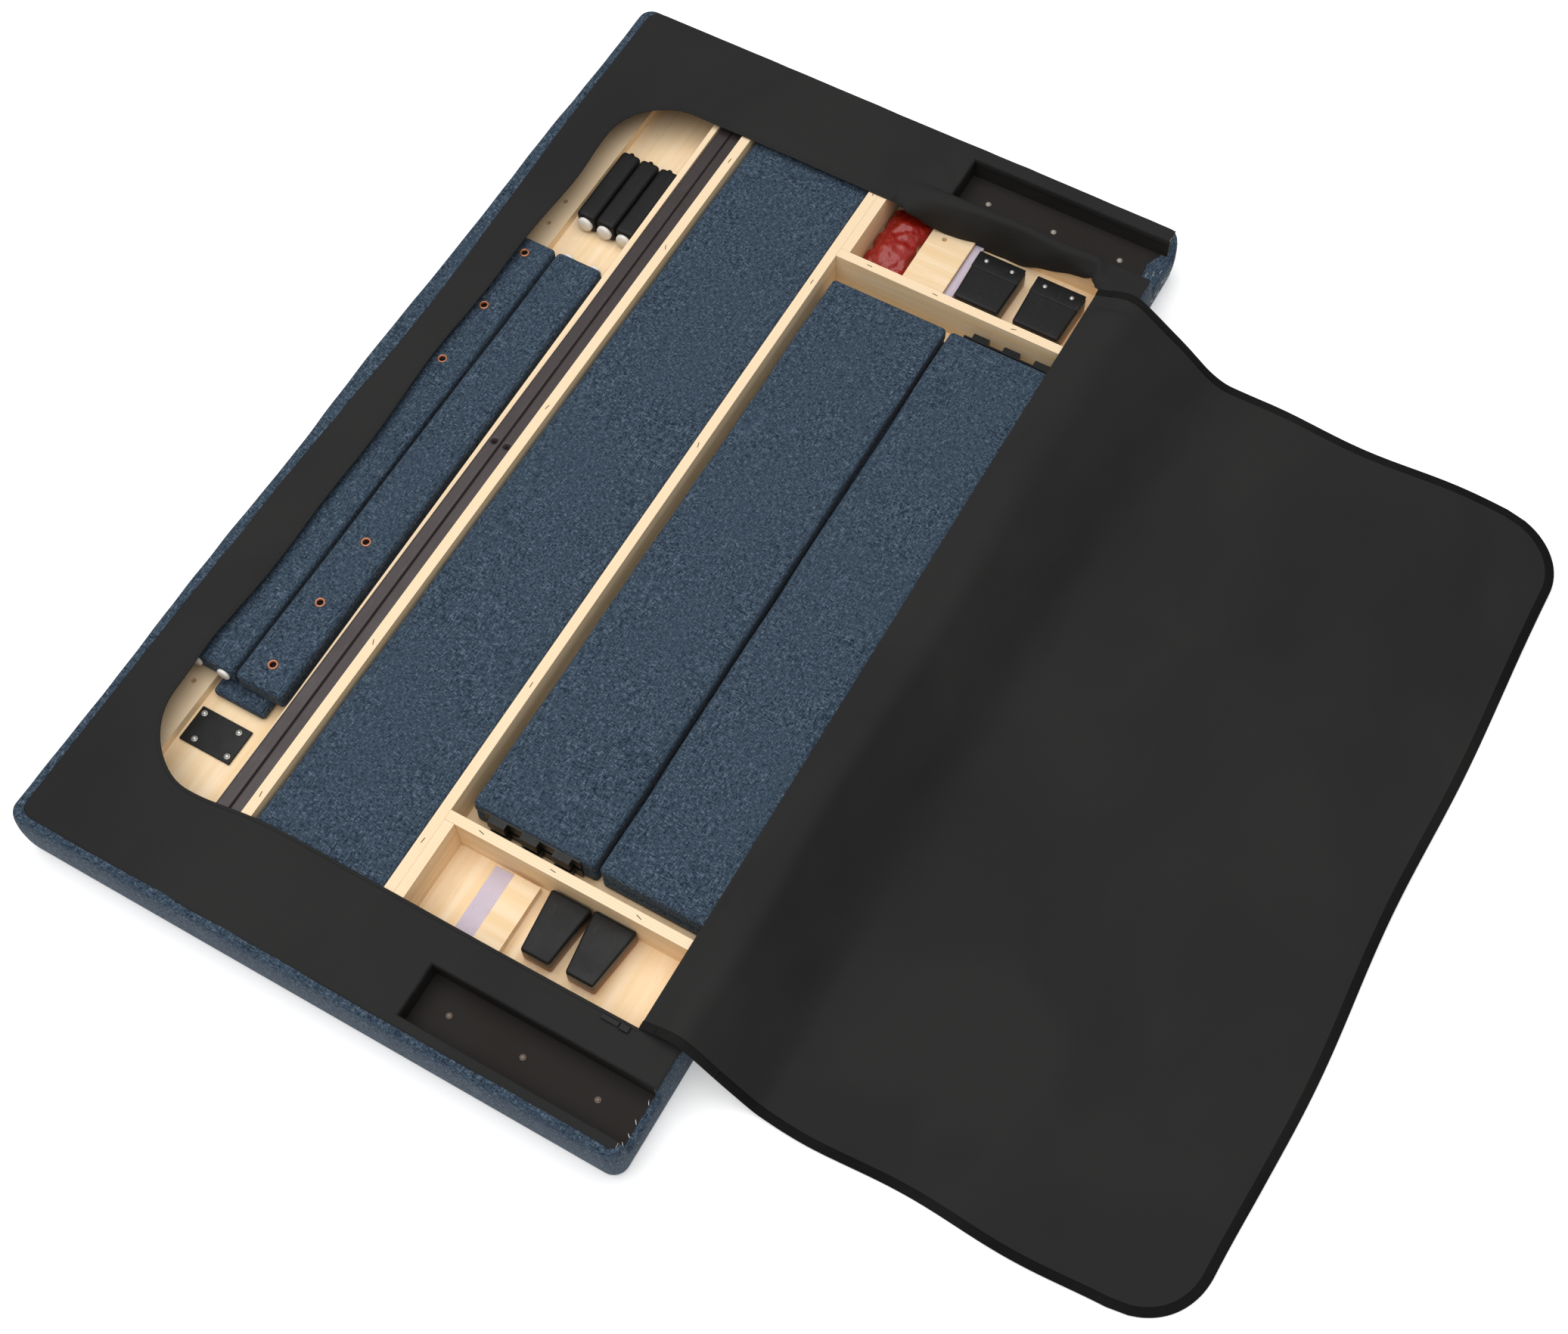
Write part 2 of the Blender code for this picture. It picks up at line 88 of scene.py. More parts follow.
class HeadboardSizes(bpy.types.PropertyGroup):
    cloth_thickness: length("Cloth thickness", "Thickness of the black non-woven back cloth", 0.0012)
    cloth_height: length("Cloth height", "Height of the back cloth above the floor", 0.0985)
    wrap_radius: length("Corner radius", "Outline radius of the upholstered headboard", 0.022)
    wrap_proud: length("Padding stand-off", "How far the linen stands out from the frame", 0.0092)
    board_radius: length("Board edge radius", "Edge radius of the wrapped boards", 0.0068)
    board_crown: length("Board crown", "How much the foam under the linen rises in the middle of a board",
        0.0018)
    binding_width: length("Binding width", "Width of the bound zip edge of the cover", 0.013)
    crest_distance: length("Crest distance",
        "Cloth length from the hinge to the crest of the folded cover", 0.054)


class HeadboardColours(bpy.types.PropertyGroup):
    linen: colour("Linen", "Main yarn of the blue linen", (56, 71, 86))
    linen_fleck: colour("Linen fleck", "Pale yarn in the linen", (98, 113, 128))
    linen_shadow: colour("Linen shade", "Dark yarn in the linen", (25, 36, 50))
    cloth: colour("Back cloth", "Black non-woven cloth", (40, 39, 39))
    binding: colour("Binding", "Zip tape and binding", (14, 13, 13))
    wood: colour("Birch", "Pale face of the plywood", (252, 227, 191))
    wood_deep: colour("Birch grain", "Darker grain of the plywood", (243, 211, 163))
    steel: colour("Painted steel", "Brown-black paint of the steel tubes", (62, 55, 54))
    black: colour("Black parts", "Black plastic and painted plates", (24, 24, 24))
    # Painted reflection: the red-brown lower sides of the feet stand in for the pale wood reflected in their
    # glossy black paint.
    foot_side_reflection: colour("Foot reflection", "Red-brown sides of the feet", (132, 74, 36))
    foam: colour("Packing foam", "Pale lilac packing foam", (206, 194, 208))
    bag: colour("Bag", "Red plastic film", (152, 22, 11))
    copper: colour("Copper", "Copper-plated threaded inserts", (186, 124, 92))
    white: colour("White plastic", "Glides under the legs", (232, 228, 222))
    chrome: colour("Zinc", "Bright screws and bolts", (198, 198, 194))


class HeadboardStage(bpy.types.PropertyGroup):
    key_power: FloatProperty(name="Key power", description="Power of the large overhead light",
        default=203.0, min=0.0, unit="POWER")
    fill_power: FloatProperty(name="Fill power", description="Power of the side light", default=6.0,
        min=0.0, unit="POWER")
    sky: FloatProperty(name="Sky strength", description="Strength of the even white surroundings",
        default=0.31, min=0.0)
    floor: colour("Floor", "Plain pale floor", (250, 250, 250))


def settings(context):
    scene = context.scene
    return scene.headboard_sizes, scene.headboard_colours


# ---------------------------------------------------------------- shapes


def smooth(low, high, value):
    """Smoothstep: 0 below low, 1 above high, 3t^2 - 2t^3 between."""
    t = np.clip((value - low) / (high - low), 0.0, 1.0)
    return t * t * (3.0 - 2.0 * t)


def bell(value, centre, width):
    """Gaussian bump of height one."""
    return np.exp(-(((value - centre) / width) ** 2))


def ripple(x, y, seed, waves, shortest, longest):
    """Sum of plane sine waves with random directions and phases, scaled to about one."""
    rng = np.random.default_rng(seed)
    angle = rng.uniform(0, math.tau, waves)
    size = rng.uniform(shortest, longest, waves)
    phase = rng.uniform(0, math.tau, waves)
    across = x[..., None] * np.cos(angle) + y[..., None] * np.sin(angle)
    return np.sin(across * math.tau / size + phase).sum(-1) / math.sqrt(waves)


def box_of(node):
    low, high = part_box(node)
    return np.array(low), np.array(high)


def quads(rows, cols, close_rows=False, close_cols=False, offset=0, flip=False):
    """Four-sided faces of a grid of rows x cols points; the normal is row step x column step."""
    i, j = np.meshgrid(np.arange(rows - (not close_rows)), np.arange(cols - (not close_cols)), indexing="ij")
    i2, j2 = (i + 1) % rows, (j + 1) % cols
    faces = np.stack([i * cols + j, i2 * cols + j, i2 * cols + j2, i * cols + j2], -1).reshape(-1, 4) + offset
    return faces[:, ::-1] if flip else faces


def make_piece(name, points, faces, materials, index=None, flat=False):
    """A mesh object at the origin from an array of points and a list of faces. Flat is one value, or one for
    each face."""
    mesh = bpy.data.meshes.new(name)
    mesh.from_pydata(np.asarray(points).reshape(-1, 3).tolist(), [], [list(map(int, f)) for f in faces])
    for material in materials:
        mesh.materials.append(material)
    if index is not None:
        mesh.polygons.foreach_set("material_index", np.asarray(index, np.int32))
    mesh.polygons.foreach_set("use_smooth", ~np.broadcast_to(np.asarray(flat, bool), len(mesh.polygons)))
    mesh.update()
    obj = bpy.data.objects.new(name, mesh)
    bpy.context.scene.collection.objects.link(obj)
    return obj


def settle(obj, body, slot, *nodes):
    """The piece rides on a body and stands for the named nodes; the slot is not used."""
    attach(obj, body)
    if nodes:
        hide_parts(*nodes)
    return obj


def bend(obj, body_a, body_b, slot, weights, *nodes):
    """The piece's transform is baked into its mesh and it stands for the named nodes; body_a, body_b, the
    slot and the weights are not used.
    """
    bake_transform(obj)
    if nodes:
        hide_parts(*nodes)
    return obj


def grid_normals(grid):
    """Unit normals of a grid of points: row difference x column difference."""
    normal = np.cross(np.gradient(grid, axis=0), np.gradient(grid, axis=1))
    return normal / np.maximum(np.linalg.norm(normal, axis=-1, keepdims=True), 1e-12)


def edged(grid):
    """The grid with one more line just inside each border, a fiftieth of the way to the next, so that only
    the rim shades as a fold."""
    for axis in (0, 1):
        lines = np.moveaxis(grid, axis, 0)
        first, last = lines[:1] * 0.98 + lines[1:2] * 0.02, lines[-1:] * 0.98 + lines[-2:-1] * 0.02
        grid = np.moveaxis(np.concatenate([lines[:1], first, lines[1:-1], last, lines[-1:]]), 0, axis)
    return grid


def shell(grid, thickness, normals=None):
    """Closed cloth: both faces stand half the thickness from the grid along its normals, and a rim joins
    their edges."""
    normals = edged(grid_normals(grid) if normals is None else normals)
    grid = edged(grid)
    rows, cols = grid.shape[:2]
    count = rows * cols
    points = np.concatenate([(grid + normals * thickness / 2).reshape(-1, 3),
        (grid - normals * thickness / 2).reshape(-1, 3)])
    number = np.arange(count).reshape(rows, cols)
    loop = np.concatenate([number[:-1, 0], number[-1, :-1], number[:0:-1, -1], number[0, :0:-1]])
    after = np.roll(loop, -1)
    rim = np.stack([after, loop, loop + count, after + count], -1)
    return points, np.concatenate([quads(rows, cols), quads(rows, cols, offset=count, flip=True), rim])


def joined(parts):
    """Several (points, faces) pairs as one, with the face numbers moved on; faces may differ in length."""
    start = np.cumsum([0] + [len(p) for p, _ in parts[:-1]])
    faces = [np.asarray(face) + first for (_, some), first in zip(parts, start) for face in some]
    return np.concatenate([p for p, _ in parts]), faces


def rounded_outline(half_x, half_y, radius, per_corner=8, extra=()):
    """Counter-clockwise rounded rectangle: quarter circles joined by straight sides; extra gives more (x, y)
    points on the lower side."""
    turn = np.linspace(0, math.pi / 2, per_corner)
    parts = []
    for k, (sx, sy) in enumerate(((1, 1), (-1, 1), (-1, -1), (1, -1))):
        a = turn + k * math.pi / 2
        parts.append(np.stack([sx * (half_x - radius) + radius * np.cos(a), sy * (half_y - radius) + radius
            * np.sin(a)], -1))
        if k == 2 and len(extra):
            parts.append(np.stack([np.sort(extra), np.full(len(extra), -half_y)], -1))
    return np.concatenate(parts)


def resampled(path, step):
    """The closed path with its long sides cut into steps: linear interpolation by arc length, original
    corners kept."""
    nxt = np.roll(path, -1, axis=0)
    long = np.linalg.norm(nxt - path, axis=1)
    cuts = np.maximum(1, np.ceil(long / step).astype(int))
    where = np.repeat(np.arange(len(path)), cuts)
    part = (np.arange(len(where)) - np.repeat(np.cumsum(cuts) - cuts, cuts)) / cuts[where]
    return path[where] + (nxt - path)[where] * part[:, None]


def spaced(low, high, radius, step, extra=()):
    """Coordinates from low to high: close together within radius of the ends and round the extra values, even
    between."""
    near = radius * np.array([0.0, 0.13, 0.3, 0.5, 0.74, 1.0])
    count = max(2, int((high - low - 2 * radius) / step))
    middle = np.linspace(low + radius, high - radius, count + 1)[1:-1]
    around = np.concatenate([e + MM * np.array([-9, -6, -4.6, -3, 0, 3, 4.6, 6, 9])
        for e in extra]) if len(extra) else []
    return np.unique(np.round(np.concatenate([low + near, high - near, middle, around]), 6))


def rounded_box(low, high, radius, step=0.02, extra_x=(), extra_y=()):
    """Box with rounded edges: every surface point p moves to core + radius * unit(p - core), core being p
    pulled in by the radius."""
    low, high = np.array(low, float), np.array(high, float)
    radius = min(radius, float((high - low).min()) / 2 - 1e-5)
    axes = [spaced(low[k], high[k], radius, step, (extra_x, extra_y, ())[k]) for k in range(3)]
    parts = []
    for k in range(3):
        u, v = [a for a in range(3) if a != k]
        if k == 1:
            u, v = v, u
        for side in (0, 1):
            uu, vv = np.meshgrid(axes[u], axes[v], indexing="ij")
            face = np.empty(uu.shape + (3,))
            face[..., u], face[..., v], face[..., k] = uu, vv, (low, high)[side][k]
            parts.append((face.reshape(-1, 3), quads(*uu.shape, flip=side == 0)))
    points, faces = joined(parts)
    keys, first, back = np.unique(np.round(points * 1e6).astype(np.int64), axis=0, return_index=True,
        return_inverse=True)
    points, faces = points[first], back.ravel()[np.array(faces)]
    core = np.clip(points, low + radius, high - radius)
    away = points - core
    away /= np.maximum(np.linalg.norm(away, axis=1, keepdims=True), 1e-12)
    return core + radius * away, faces


def lathe(profile, centre, axis="z", segments=20):
    """A turned part: a closed-ended (radius, height) profile carried round an axis, capped at both ends."""
    profile = np.array(profile, float)
    turn = np.linspace(0, math.tau, segments, endpoint=False)
    r, h = profile[:, 0][:, None], profile[:, 1][:, None] + 0 * turn
    rings = np.stack([r * np.cos(turn), r * np.sin(turn), h], -1)
    faces = [list(f) for f in quads(len(profile), segments, close_cols=True, flip=True)]
    last = (len(profile) - 1) * segments
    faces += [list(range(segments))[::-1], list(range(last, last + segments))]
    order = {"z": (0, 1, 2), "x": (2, 0, 1), "y": (1, 2, 0)}[axis]
    points = rings.reshape(-1, 3)[:, order] + np.array(centre)
    return points, faces


# ---------------------------------------------------------------- shader groups


def add(tree, kind, links=(), **values):
    """A node whose named properties are set, and whose inputs are linked to sockets or given values."""
    node = tree.nodes.new(kind)
    for key, value in values.items():
        setattr(node, key, value)
    for key, value in dict(links).items():
        socket = node.inputs[key]
        if isinstance(value, bpy.types.NodeSocket):
            tree.links.new(value, socket)
        else:
            socket.default_value = value
    return node


def math_node(tree, operation, a, b=0.0, clamp=False):
    return add(tree, "ShaderNodeMath", {0: a, 1: b}, operation=operation, use_clamp=clamp).outputs[0]


def ramp(tree, value, low, high, out_low=0.0, out_high=1.0):
    """Value from low..high to out_low..out_high, clamped."""
    node = add(tree, "ShaderNodeMapRange", {"Value": value}, interpolation_type="SMOOTHSTEP")
    for key, number in (("From Min", low), ("From Max", high), ("To Min", out_low), ("To Max", out_high)):
        node.inputs[key].default_value = number
    return node.outputs["Result"]


def mix(tree, factor, a, b):
    """Colour mix of a and b."""
    node = tree.nodes.new("ShaderNodeMix")
    node.data_type = "RGBA"
    for index, value in ((0, factor), (6, a), (7, b)):
        if isinstance(value, bpy.types.NodeSocket):
            tree.links.new(value, node.inputs[index])
        else:
            node.inputs[index].default_value = value
    return node.outputs[2]


def noise(tree, vector, scale, detail=3.0, roughness=0.55, distortion=0.0):
    """Noise stretched by a scale per axis, in repeats per metre."""
    moved = add(tree, "ShaderNodeMapping", {"Vector": vector, "Scale": scale}).outputs["Vector"]
    node = add(tree, "ShaderNodeTexNoise",
        {"Vector": moved, "Scale": 1.0, "Detail": detail, "Roughness": roughness, "Distortion": distortion})
    return node.outputs["Fac"]


def new_group(name, inputs, outputs):
    group = bpy.data.node_groups.new(name, "ShaderNodeTree")
    for label, kind, value in inputs:
        socket = group.interface.new_socket(name=label, in_out="INPUT", socket_type=kind)
        if value is not None:
            socket.default_value = value
    for label, kind in outputs:
        group.interface.new_socket(name=label, in_out="OUTPUT", socket_type=kind)
    return group, group.nodes.new("NodeGroupInput").outputs, group.nodes.new("NodeGroupOutput").inputs


STANDARD_OUT = (("Color", "NodeSocketColor"), ("Roughness", "NodeSocketFloat"), ("Height", "NodeSocketFloat"))


def linen_group():
    """Heathered plain weave: long noise along the two yarn directions of each face gives pale and dark
    yarns."""
    if "Linen Yarn" in bpy.data.node_groups:
        return bpy.data.node_groups["Linen Yarn"]
    group, given, out = new_group(
        "Linen Yarn",
        (
            ("Yarn", "NodeSocketColor", (0.05, 0.08, 0.12, 1)),
            ("Fleck", "NodeSocketColor", (0.15, 0.2, 0.25, 1)),
            ("Shade", "NodeSocketColor", (0.02, 0.03, 0.05, 1)),
            ("Contrast", "NodeSocketFloat", 1.0),
        ),
        STANDARD_OUT,
    )
    where = group.nodes.new("ShaderNodeTexCoord").outputs
    side = add(group, "ShaderNodeSeparateXYZ", {0: where["Normal"]}).outputs
    toward_x = ramp(group, math_node(group, "ABSOLUTE", side[0]), 0.35, 0.85)
    toward_y = ramp(group, math_node(group, "ABSOLUTE", side[1]), 0.35, 0.85)
    along_x = noise(group, where["Object"], (150, 520, 520), 3.0, 0.6)
    along_y = noise(group, where["Object"], (520, 150, 520), 3.0, 0.6)
    along_z = noise(group, where["Object"], (520, 520, 150), 3.0, 0.6)
    warp = add(group, "ShaderNodeMix", {0: toward_x, 2: along_x, 3: along_z}).outputs[0]
    weft = add(group, "ShaderNodeMix", {0: toward_y, 2: along_y, 3: along_z}).outputs[0]
    pale = ramp(group, math_node(group, "MAXIMUM", warp, weft), 0.56, 0.70)
    dark = ramp(group, math_node(group, "MINIMUM", warp, weft), 0.46, 0.33)
    cloudy = noise(group, where["Object"], (9, 9, 9), 2.0)
    tone = mix(group, math_node(group, "MULTIPLY", pale, given["Contrast"], True), given["Yarn"],
        given["Fleck"])
    tone = mix(group, math_node(group, "MULTIPLY", dark, given["Contrast"], True), tone, given["Shade"])
    tone = mix(group, ramp(group, cloudy, 0.35, 0.7, 0.0, 0.22), tone, given["Yarn"])
    fine = noise(group, where["Object"], (1100, 1100, 1100), 1.0)
    height = math_node(group, "ADD", math_node(group, "ADD", warp, weft),
        math_node(group, "MULTIPLY", fine, 0.5))
    group.links.new(tone, out["Color"])
    group.links.new(ramp(group, height, 0.6, 1.6, 0.95, 0.8), out["Roughness"])
    group.links.new(height, out["Height"])
    return group


def nonwoven_group():
    """Spun-bonded cloth: a field of small pressed dots, loose fibres, and slow changes of tone."""
    if "Spunbond" in bpy.data.node_groups:
        return bpy.data.node_groups["Spunbond"]
    group, given, out = new_group(
        "Spunbond",
        (("Cloth", "NodeSocketColor", (0.03, 0.03, 0.03, 1)), ("Creases", "NodeSocketFloat", 0.4)),
        STANDARD_OUT,
    )
    where = group.nodes.new("ShaderNodeTexCoord").outputs["Object"]
    dots = add(group, "ShaderNodeTexVoronoi",
        {"Vector": where, "Scale": 620.0, "Randomness": 0.35}).outputs["Distance"]
    fibre = noise(group, where, (420, 420, 420), 4.0, 0.7)
    slow = noise(group, where, (2.6, 3.4, 6.0), 3.0, 0.5, 0.6)
    crease = noise(group, where, (7, 4.5, 9), 4.0, 0.55, 1.2)
    lighter = mix(group, ramp(group, slow, 0.3, 0.7, 0.0, 0.16), given["Cloth"], (0.05, 0.052, 0.049, 1))
    tone = mix(group, ramp(group, fibre, 0.35, 0.7, 0.0, 0.14), lighter, (0.008, 0.008, 0.008, 1))
    pressed = math_node(group, "MULTIPLY", ramp(group, dots, 0.15, 0.5), 0.18)
    height = math_node(group, "ADD", pressed, math_node(group, "MULTIPLY", fibre, 0.16))
    height = math_node(group, "ADD", height,
        math_node(group, "MULTIPLY", crease, math_node(group, "MULTIPLY", given["Creases"], 5.0)))
    group.links.new(tone, out["Color"])
    group.links.new(ramp(group, fibre, 0.3, 0.7, 0.9, 0.74), out["Roughness"])
    group.links.new(height, out["Height"])
    return group


def birch_group():
    """Birch plywood: stretched noise along the grain, and alternate pale and brown layers where the edge
    shows."""
    if "Birch Ply" in bpy.data.node_groups:
        return bpy.data.node_groups["Birch Ply"]
    group, given, out = new_group(
        "Birch Ply",
        (
            ("Place", "NodeSocketVector", None),
            ("Layers", "NodeSocketFloat", 0.0),
            ("Edge", "NodeSocketFloat", 0.0),
            ("Pale", "NodeSocketColor", (0.9, 0.75, 0.5, 1)),
            ("Deep", "NodeSocketColor", (0.8, 0.6, 0.3, 1)),
        ),
        STANDARD_OUT,
    )
    grain = noise(group, given["Place"], (3.2, 60, 60), 4.0, 0.6, 0.4)
    pores = noise(group, given["Place"], (40, 900, 900), 2.0)
    figure = noise(group, given["Place"], (1.4, 9, 9), 3.0, 0.5, 1.6)
    tone = mix(group, ramp(group, grain, 0.36, 0.68), given["Pale"], given["Deep"])
    tone = mix(group, ramp(group, figure, 0.42, 0.72, 0.0, 0.45), tone, given["Deep"])
    tone = mix(group, ramp(group, pores, 0.62, 0.78, 0.0, 0.3), tone, (0.42, 0.26, 0.12, 1))
    stripe = math_node(group, "SINE", math_node(group, "MULTIPLY", given["Layers"], math.tau / 0.0033))
    layered = mix(group, ramp(group, stripe, -0.7, 0.8, 0.0, 0.55), given["Pale"], (0.72, 0.5, 0.29, 1))
    layered = mix(group, ramp(group, grain, 0.3, 0.7, 0.0, 0.3), layered, given["Pale"])
    tone = mix(group, given["Edge"], tone, layered)
    height = math_node(group, "ADD", math_node(group, "MULTIPLY", grain, 0.5),
        math_node(group, "MULTIPLY", pores, 0.25))
    height = math_node(group, "ADD", height,
        math_node(group, "MULTIPLY", math_node(group, "MULTIPLY", stripe, given["Edge"]), 0.15))
    group.links.new(tone, out["Color"])
    group.links.new(ramp(group, grain, 0.3, 0.7, 0.5, 0.68), out["Roughness"])
    group.links.new(height, out["Height"])
    return group


def wear_group():
    """Handling marks on smooth parts: cloudy smudges in the roughness, faint scuffs in the colour, a fine
    orange-peel height."""
    if "Handling Wear" in bpy.data.node_groups:
        return bpy.data.node_groups["Handling Wear"]
    group, given, out = new_group(
        "Handling Wear",
        (
            ("Surface", "NodeSocketColor", (0.1, 0.1, 0.1, 1)),
            ("Scuff", "NodeSocketColor", (0.3, 0.3, 0.3, 1)),
            ("Scuffing", "NodeSocketFloat", 0.3),
            ("Roughness", "NodeSocketFloat", 0.4),
        ),
        STANDARD_OUT,
    )
    where = group.nodes.new("ShaderNodeTexCoord").outputs["Object"]
    smudge = noise(group, where, (14, 14, 14), 4.0, 0.6, 0.5)
    scuff = noise(group, where, (60, 260, 120), 3.0, 0.7)
    peel = noise(group, where, (1300, 1300, 1300), 1.0)
    amount = math_node(group, "MULTIPLY", ramp(group, scuff, 0.56, 0.74), given["Scuffing"], True)
    group.links.new(mix(group, amount, given["Surface"], given["Scuff"]), out["Color"])
    spread = ramp(group, smudge, 0.3, 0.7, -0.07, 0.09)
    group.links.new(math_node(group, "ADD", given["Roughness"], spread, True), out["Roughness"])
    group.links.new(math_node(group, "ADD", math_node(group, "MULTIPLY", peel, 0.3), scuff), out["Height"])
    return group


def new_material(name, group, inputs, bump, distance, **constants):
    """A Principled material fed by one group: its colour, its roughness, and its height through a bump."""
    material = bpy.data.materials.new(name)
    material.use_nodes = True
    tree = material.node_tree
    shader = tree.nodes["Principled BSDF"]
    node = tree.nodes.new("ShaderNodeGroup")
    node.node_tree = group
    for key, value in inputs.items():
        if isinstance(value, tuple) and callable(value[0]):
            tree.links.new(value[0](tree), node.inputs[key])
        else:
            node.inputs[key].default_value = value
    tree.links.new(node.outputs["Color"], shader.inputs["Base Color"])
    tree.links.new(node.outputs["Roughness"], shader.inputs["Roughness"])
    lift = add(tree, "ShaderNodeBump", {"Height": node.outputs["Height"], "Strength": bump,
        "Distance": distance})
    tree.links.new(lift.outputs["Normal"], shader.inputs["Normal"])
    for key, value in constants.items():
        shader.inputs[key.replace("_", " ")].default_value = value
    return material


def birch_inputs(colours, grain, layers, edge_strength=0.8):
    """Group inputs for a board whose grain runs along one axis and whose layers are stacked along another."""

    def place(tree):
        where = tree.nodes.new("ShaderNodeTexCoord").outputs["Object"]
        turned = add(tree, "ShaderNodeMapping", {"Vector": where})
        if grain == "y":
            turned.inputs["Rotation"].default_value = (0, 0, math.pi / 2)
        return turned.outputs["Vector"]

    def stacked(tree):
        where = tree.nodes.new("ShaderNodeTexCoord").outputs["Object"]
        return add(tree, "ShaderNodeSeparateXYZ", {0: where}).outputs["XYZ".index(layers)]

    def edge(tree):
        normal = tree.nodes.new("ShaderNodeTexCoord").outputs["Normal"]
        part = add(tree, "ShaderNodeSeparateXYZ", {0: normal}).outputs["XYZ".index(layers)]
        return ramp(tree, math_node(tree, "ABSOLUTE", part), 0.6, 0.4, 0.0, edge_strength)

    return {"Place": (place,), "Layers": (stacked,), "Edge": (edge,), "Pale": tuple(colours.wood),
        "Deep": tuple(colours.wood_deep)}


def black_wear(surface, scuff, scuffing, roughness):
    return {"Surface": surface if callable(surface[0]) else tuple(surface), "Scuff": scuff,
        "Scuffing": scuffing, "Roughness": roughness}


def finish(name):
    """The named material, made the first time it is asked for."""
    found = bpy.data.materials.get(name)
    if found:
        return found
    c = bpy.context.scene.headboard_colours
    if name == "linen_blue":
        yarns = {"Yarn": tuple(c.linen), "Fleck": tuple(c.linen_fleck), "Shade": tuple(c.linen_shadow),
            "Contrast": 1.25}
        return new_material(name, linen_group(), yarns, 0.55, 0.0009, Sheen_Weight=0.05,
            Sheen_Roughness=0.5, Specular_IOR_Level=0.15)
    if name == "cloth_black":
        return new_material(name, nonwoven_group(), {"Cloth": tuple(c.cloth), "Creases": 0.35}, 0.35,
            0.0012, Specular_IOR_Level=0.12)
    if name == "cloth_lining":
        return new_material(name, nonwoven_group(), {"Cloth": linear(42, 38, 36), "Creases": 0.9}, 0.5,
            0.0016, Specular_IOR_Level=0.12)
    if name == "binding_black":
        return new_material(name, nonwoven_group(), {"Cloth": tuple(c.binding), "Creases": 0.1}, 0.5,
            0.0008, Specular_IOR_Level=0.1)
    if name == "birch_x":
        return new_material(name, birch_group(), birch_inputs(c, "x", "Y"), 0.12, 0.0006)
    if name == "birch_y":
        return new_material(name, birch_group(), birch_inputs(c, "y", "X"), 0.12, 0.0006)
    if name == "birch_panel":
        return new_material(name, birch_group(), birch_inputs(c, "x", "Z"), 0.1, 0.0006)
    if name == "birch_batten":
        return new_material(name, birch_group(), birch_inputs(c, "y", "Z", 0.15), 0.1, 0.0006)
    if name == "steel_brown":
        return new_material(name, wear_group(), black_wear(c.steel, linear(112, 104, 100), 0.16, 0.4), 0.2,
            0.0003, Metallic=0.25)
    if name == "steel_black":
        return new_material(name, wear_group(),
            black_wear(linear(22, 22, 23), linear(88, 86, 84), 0.2, 0.38), 0.2, 0.0003, Metallic=0.5)
    if name == "plastic_black":
        return new_material(name, wear_group(), black_wear(c.black, linear(66, 64, 64), 0.22, 0.5), 0.3,
            0.0003, Specular_IOR_Level=0.25)
    if name == "foot_reflection_brown":

        # Painted reflection: red-brown below 36 mm, fading to black above 53 mm, for the wood reflected in
        # the glossy black sides.
        def reflected_wood_tone(tree):
            where = tree.nodes.new("ShaderNodeTexCoord").outputs["Object"]
            height = add(tree, "ShaderNodeSeparateXYZ", {0: where}).outputs[2]
            return mix(tree, ramp(tree, height, 0.036, 0.053), tuple(c.foot_side_reflection), tuple(c.black))

        return new_material(name, wear_group(), black_wear((reflected_wood_tone,), linear(40, 22, 14), 0.5, 0.42), 0.3,
            0.0004, Coat_Weight=0.1)
    if name == "foam_lilac":
        return new_material(name, wear_group(), black_wear(c.foam, linear(172, 160, 180), 0.5, 0.8), 0.8,
            0.0012)
    if name == "copper_insert":
        return new_material(name, wear_group(), black_wear(c.copper, linear(120, 66, 40), 0.7, 0.34), 0.5,
            0.0004, Metallic=0.55)
    if name == "plastic_white":
        return new_material(name, wear_group(), black_wear(c.white, linear(190, 184, 176), 0.3, 0.42), 0.3,
            0.0003)
    if name == "zinc":
        return new_material(name, wear_group(), black_wear(c.chrome, linear(150, 150, 146), 0.4, 0.26),
            0.3, 0.0002, Metallic=0.6)
    if name == "bolt_dull":
        return new_material(name, wear_group(),
            black_wear(linear(120, 106, 94), linear(70, 60, 52), 0.7, 0.5), 0.4, 0.0003, Metallic=0.3)
    if name == "bolt_grey":
        return new_material(name, wear_group(),
            black_wear(linear(168, 162, 152), linear(96, 90, 82), 0.6, 0.42), 0.4, 0.0003, Metallic=0.3)
    # Painted shade: near-black for the hollows inside drilled holes and inserts, where only shade falls.
    if name == "painted_hole_shade":
        return new_material(name, wear_group(), black_wear(linear(10, 9, 9), linear(30, 26, 24), 0.3, 0.8),
            0.1, 0.0002)
    if name == "bag_red":
        return new_material(name, wear_group(), black_wear(c.bag, linear(214, 74, 44), 0.4, 0.26), 1.0,
            0.0016, Coat_Weight=0.45, Coat_Roughness=0.12)
    if name == "floor_pale":
        floor = bpy.context.scene.headboard_stage.floor
        return new_material(name, wear_group(), black_wear(floor, linear(246, 246, 246), 0.2, 0.8), 0.02,
            0.0002, Emission_Color=tuple(floor), Emission_Strength=0.32)
    raise KeyError(name)


# ---------------------------------------------------------------- upholstery


